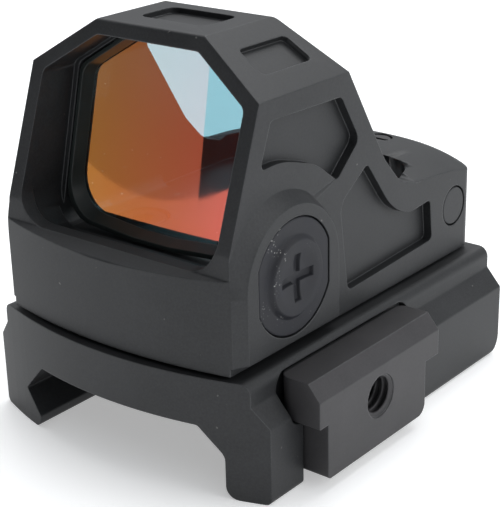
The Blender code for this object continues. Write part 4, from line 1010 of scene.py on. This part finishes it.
@dataclass
class Studio:
    """Pale floor that curls up at its rim, grey wall, soft lights, dark flags and the camera."""

    floor_radius: float = 1.0
    rim_start: float = 0.7
    rim_rise: float = 0.062
    floor_dark: Colour = (0.83, 0.84, 0.845)
    floor_light: Colour = (0.86, 0.865, 0.87)
    floor_roughness: float = 0.85
    floor_glow: float = 0.38
    wall_reach: float = 1.05
    wall_foot: float = 0.048
    wall_height: float = 0.30
    wall_span: tuple[float, float] = (-35.0, 62.0)
    wall_shade: Colour = (0.05, 0.05, 0.05)
    wall_roughness: float = 0.9
    wall_glow_foot: Colour = (0.5, 0.5, 0.5)
    wall_glow_top: Colour = (0.16, 0.17, 0.18)
    sky_tint: Colour = (0.93, 0.96, 1.0)
    world_strength: float = 0.5
    azimuth: float = 39.494
    elevation: float = 21.603
    roll: float = -1.429
    aim: Place = (0.001302, -0.003512, 0.007224)
    distance: float = 0.125505
    focal_length: float = 101.43
    shift: tuple[float, float] = (0.00097, -0.00093)
    sensor_width: float = 36.0
    clip: tuple[float, float] = (0.005, 10.0)
    flags: tuple[Flag, ...] = (
        Flag("dark_flag", (-0.290, -0.228, 0.121), 0.20, 0.190),
        Flag("front_flag", (-0.06, -0.44, 0.30), 0.80, 0.34),
    )
    lights: tuple[Softbox, ...] = (
        Softbox("side_softbox", (0.55, 0.15, 0.35), 0.45, 1.5),
        Softbox("top_softbox", (-0.15, 0.30, 0.70), 0.7, 5.0),
    )

    def floor(self) -> None:
        """Disc whose height eases up between the rim's start and its end."""
        low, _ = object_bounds()
        radius = self.floor_radius * np.linspace(0.0, 1.0, 60)[:, None] ** 1.6
        turn = np.linspace(0.0, 2.0 * np.pi, 96, endpoint=False)[None, :]
        share = (radius - self.rim_start) / (self.floor_radius - self.rim_start)
        rise = self.rim_rise * smoothstep(share)
        points = np.stack(
            [radius * np.cos(turn), radius * np.sin(turn), low.z + rise + 0 * turn], axis=-1
        )
        disc = grid_mesh("floor", points)
        if disc.data.polygons[0].normal.z < 0:
            disc.data.flip_normals()
        paint = Paint("pale floor")
        shade = paint.blend(paint.noise(9.0, 3.0), self.floor_dark, self.floor_light)
        disc.data.materials.append(
            paint.glowing(shade, self.floor_roughness, (1.0, 1.0, 1.0), self.floor_glow)
        )
        disc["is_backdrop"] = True

    def wall(self) -> None:
        """Curved grey wall in front: an upright band whose glow falls from its foot to its top."""
        turn = np.radians(np.linspace(*self.wall_span, 40))[None, :]
        height = np.linspace(0.0, 1.0, 12)[:, None]
        reach = self.wall_reach + 0 * height
        points = np.stack(
            [
                -reach * np.sin(turn),
                -reach * np.cos(turn),
                self.wall_foot + self.wall_height * height + 0 * turn,
            ],
            axis=-1,
        )
        piece = strip_mesh("grey_wall", points)
        paint = Paint("grey wall")
        rise = paint.axis("Z").above(self.wall_foot, self.wall_foot + self.wall_height)
        glow = paint.blend(rise, self.wall_glow_foot, self.wall_glow_top)
        piece.data.materials.append(
            paint.glowing(self.wall_shade, self.wall_roughness, glow, 1.0)
        )
        piece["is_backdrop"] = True

    def world(self) -> None:
        """Even soft sky."""
        sky = bpy.data.worlds.new("studio")
        sky.use_nodes = True
        background = sky.node_tree.nodes["Background"]
        background.inputs["Color"].default_value = (*self.sky_tint, 1.0)
        background.inputs["Strength"].default_value = self.world_strength
        bpy.context.scene.world = sky

    def camera(self) -> None:
        """Camera on its bearing from the aim point, rolled a little about its axis."""
        bearing, rise, roll = map(math.radians, (self.azimuth, self.elevation, self.roll))
        level = math.cos(rise)
        back = Vector((math.sin(bearing) * level, -math.cos(bearing) * level, math.sin(rise)))
        right = (-back).cross(Vector((0, 0, 1))).normalized()
        up = right.cross(-back)
        across = right * math.cos(roll) + up * math.sin(roll)
        above = up * math.cos(roll) - right * math.sin(roll)
        data = bpy.data.cameras.new("camera")
        data.lens = self.focal_length
        data.sensor_width = self.sensor_width
        data.shift_x, data.shift_y = self.shift
        data.clip_start, data.clip_end = self.clip
        camera = linked("camera", data)
        turned = Matrix((across, above, back)).transposed().to_4x4()
        camera.matrix_world = Matrix.Translation(Vector(self.aim) + back * self.distance) @ turned
        bpy.context.scene.camera = camera

    def build(self) -> None:
        """Sets up floor, sky, wall, flags, lights and camera."""
        self.floor()
        self.world()
        self.wall()
        for item in (*self.flags, *self.lights):
            item.build()
        self.camera()
        bpy.context.scene.view_settings.view_transform = "Standard"


# ---------------------------------------------------------------- assembly


def main() -> None:
    """Builds every piece in order, then the studio."""
    logging.basicConfig(level=logging.INFO, format="%(name)s: %(message)s")
    Shell().build()
    PressKey("up_button", side=1, plus=True).build()
    PressKey("down_button", side=-1, plus=False).build()
    JawThread().build()
    Fittings().build()
    Insides().build()
    Studio().build()


if __name__ == "__main__":
    main()
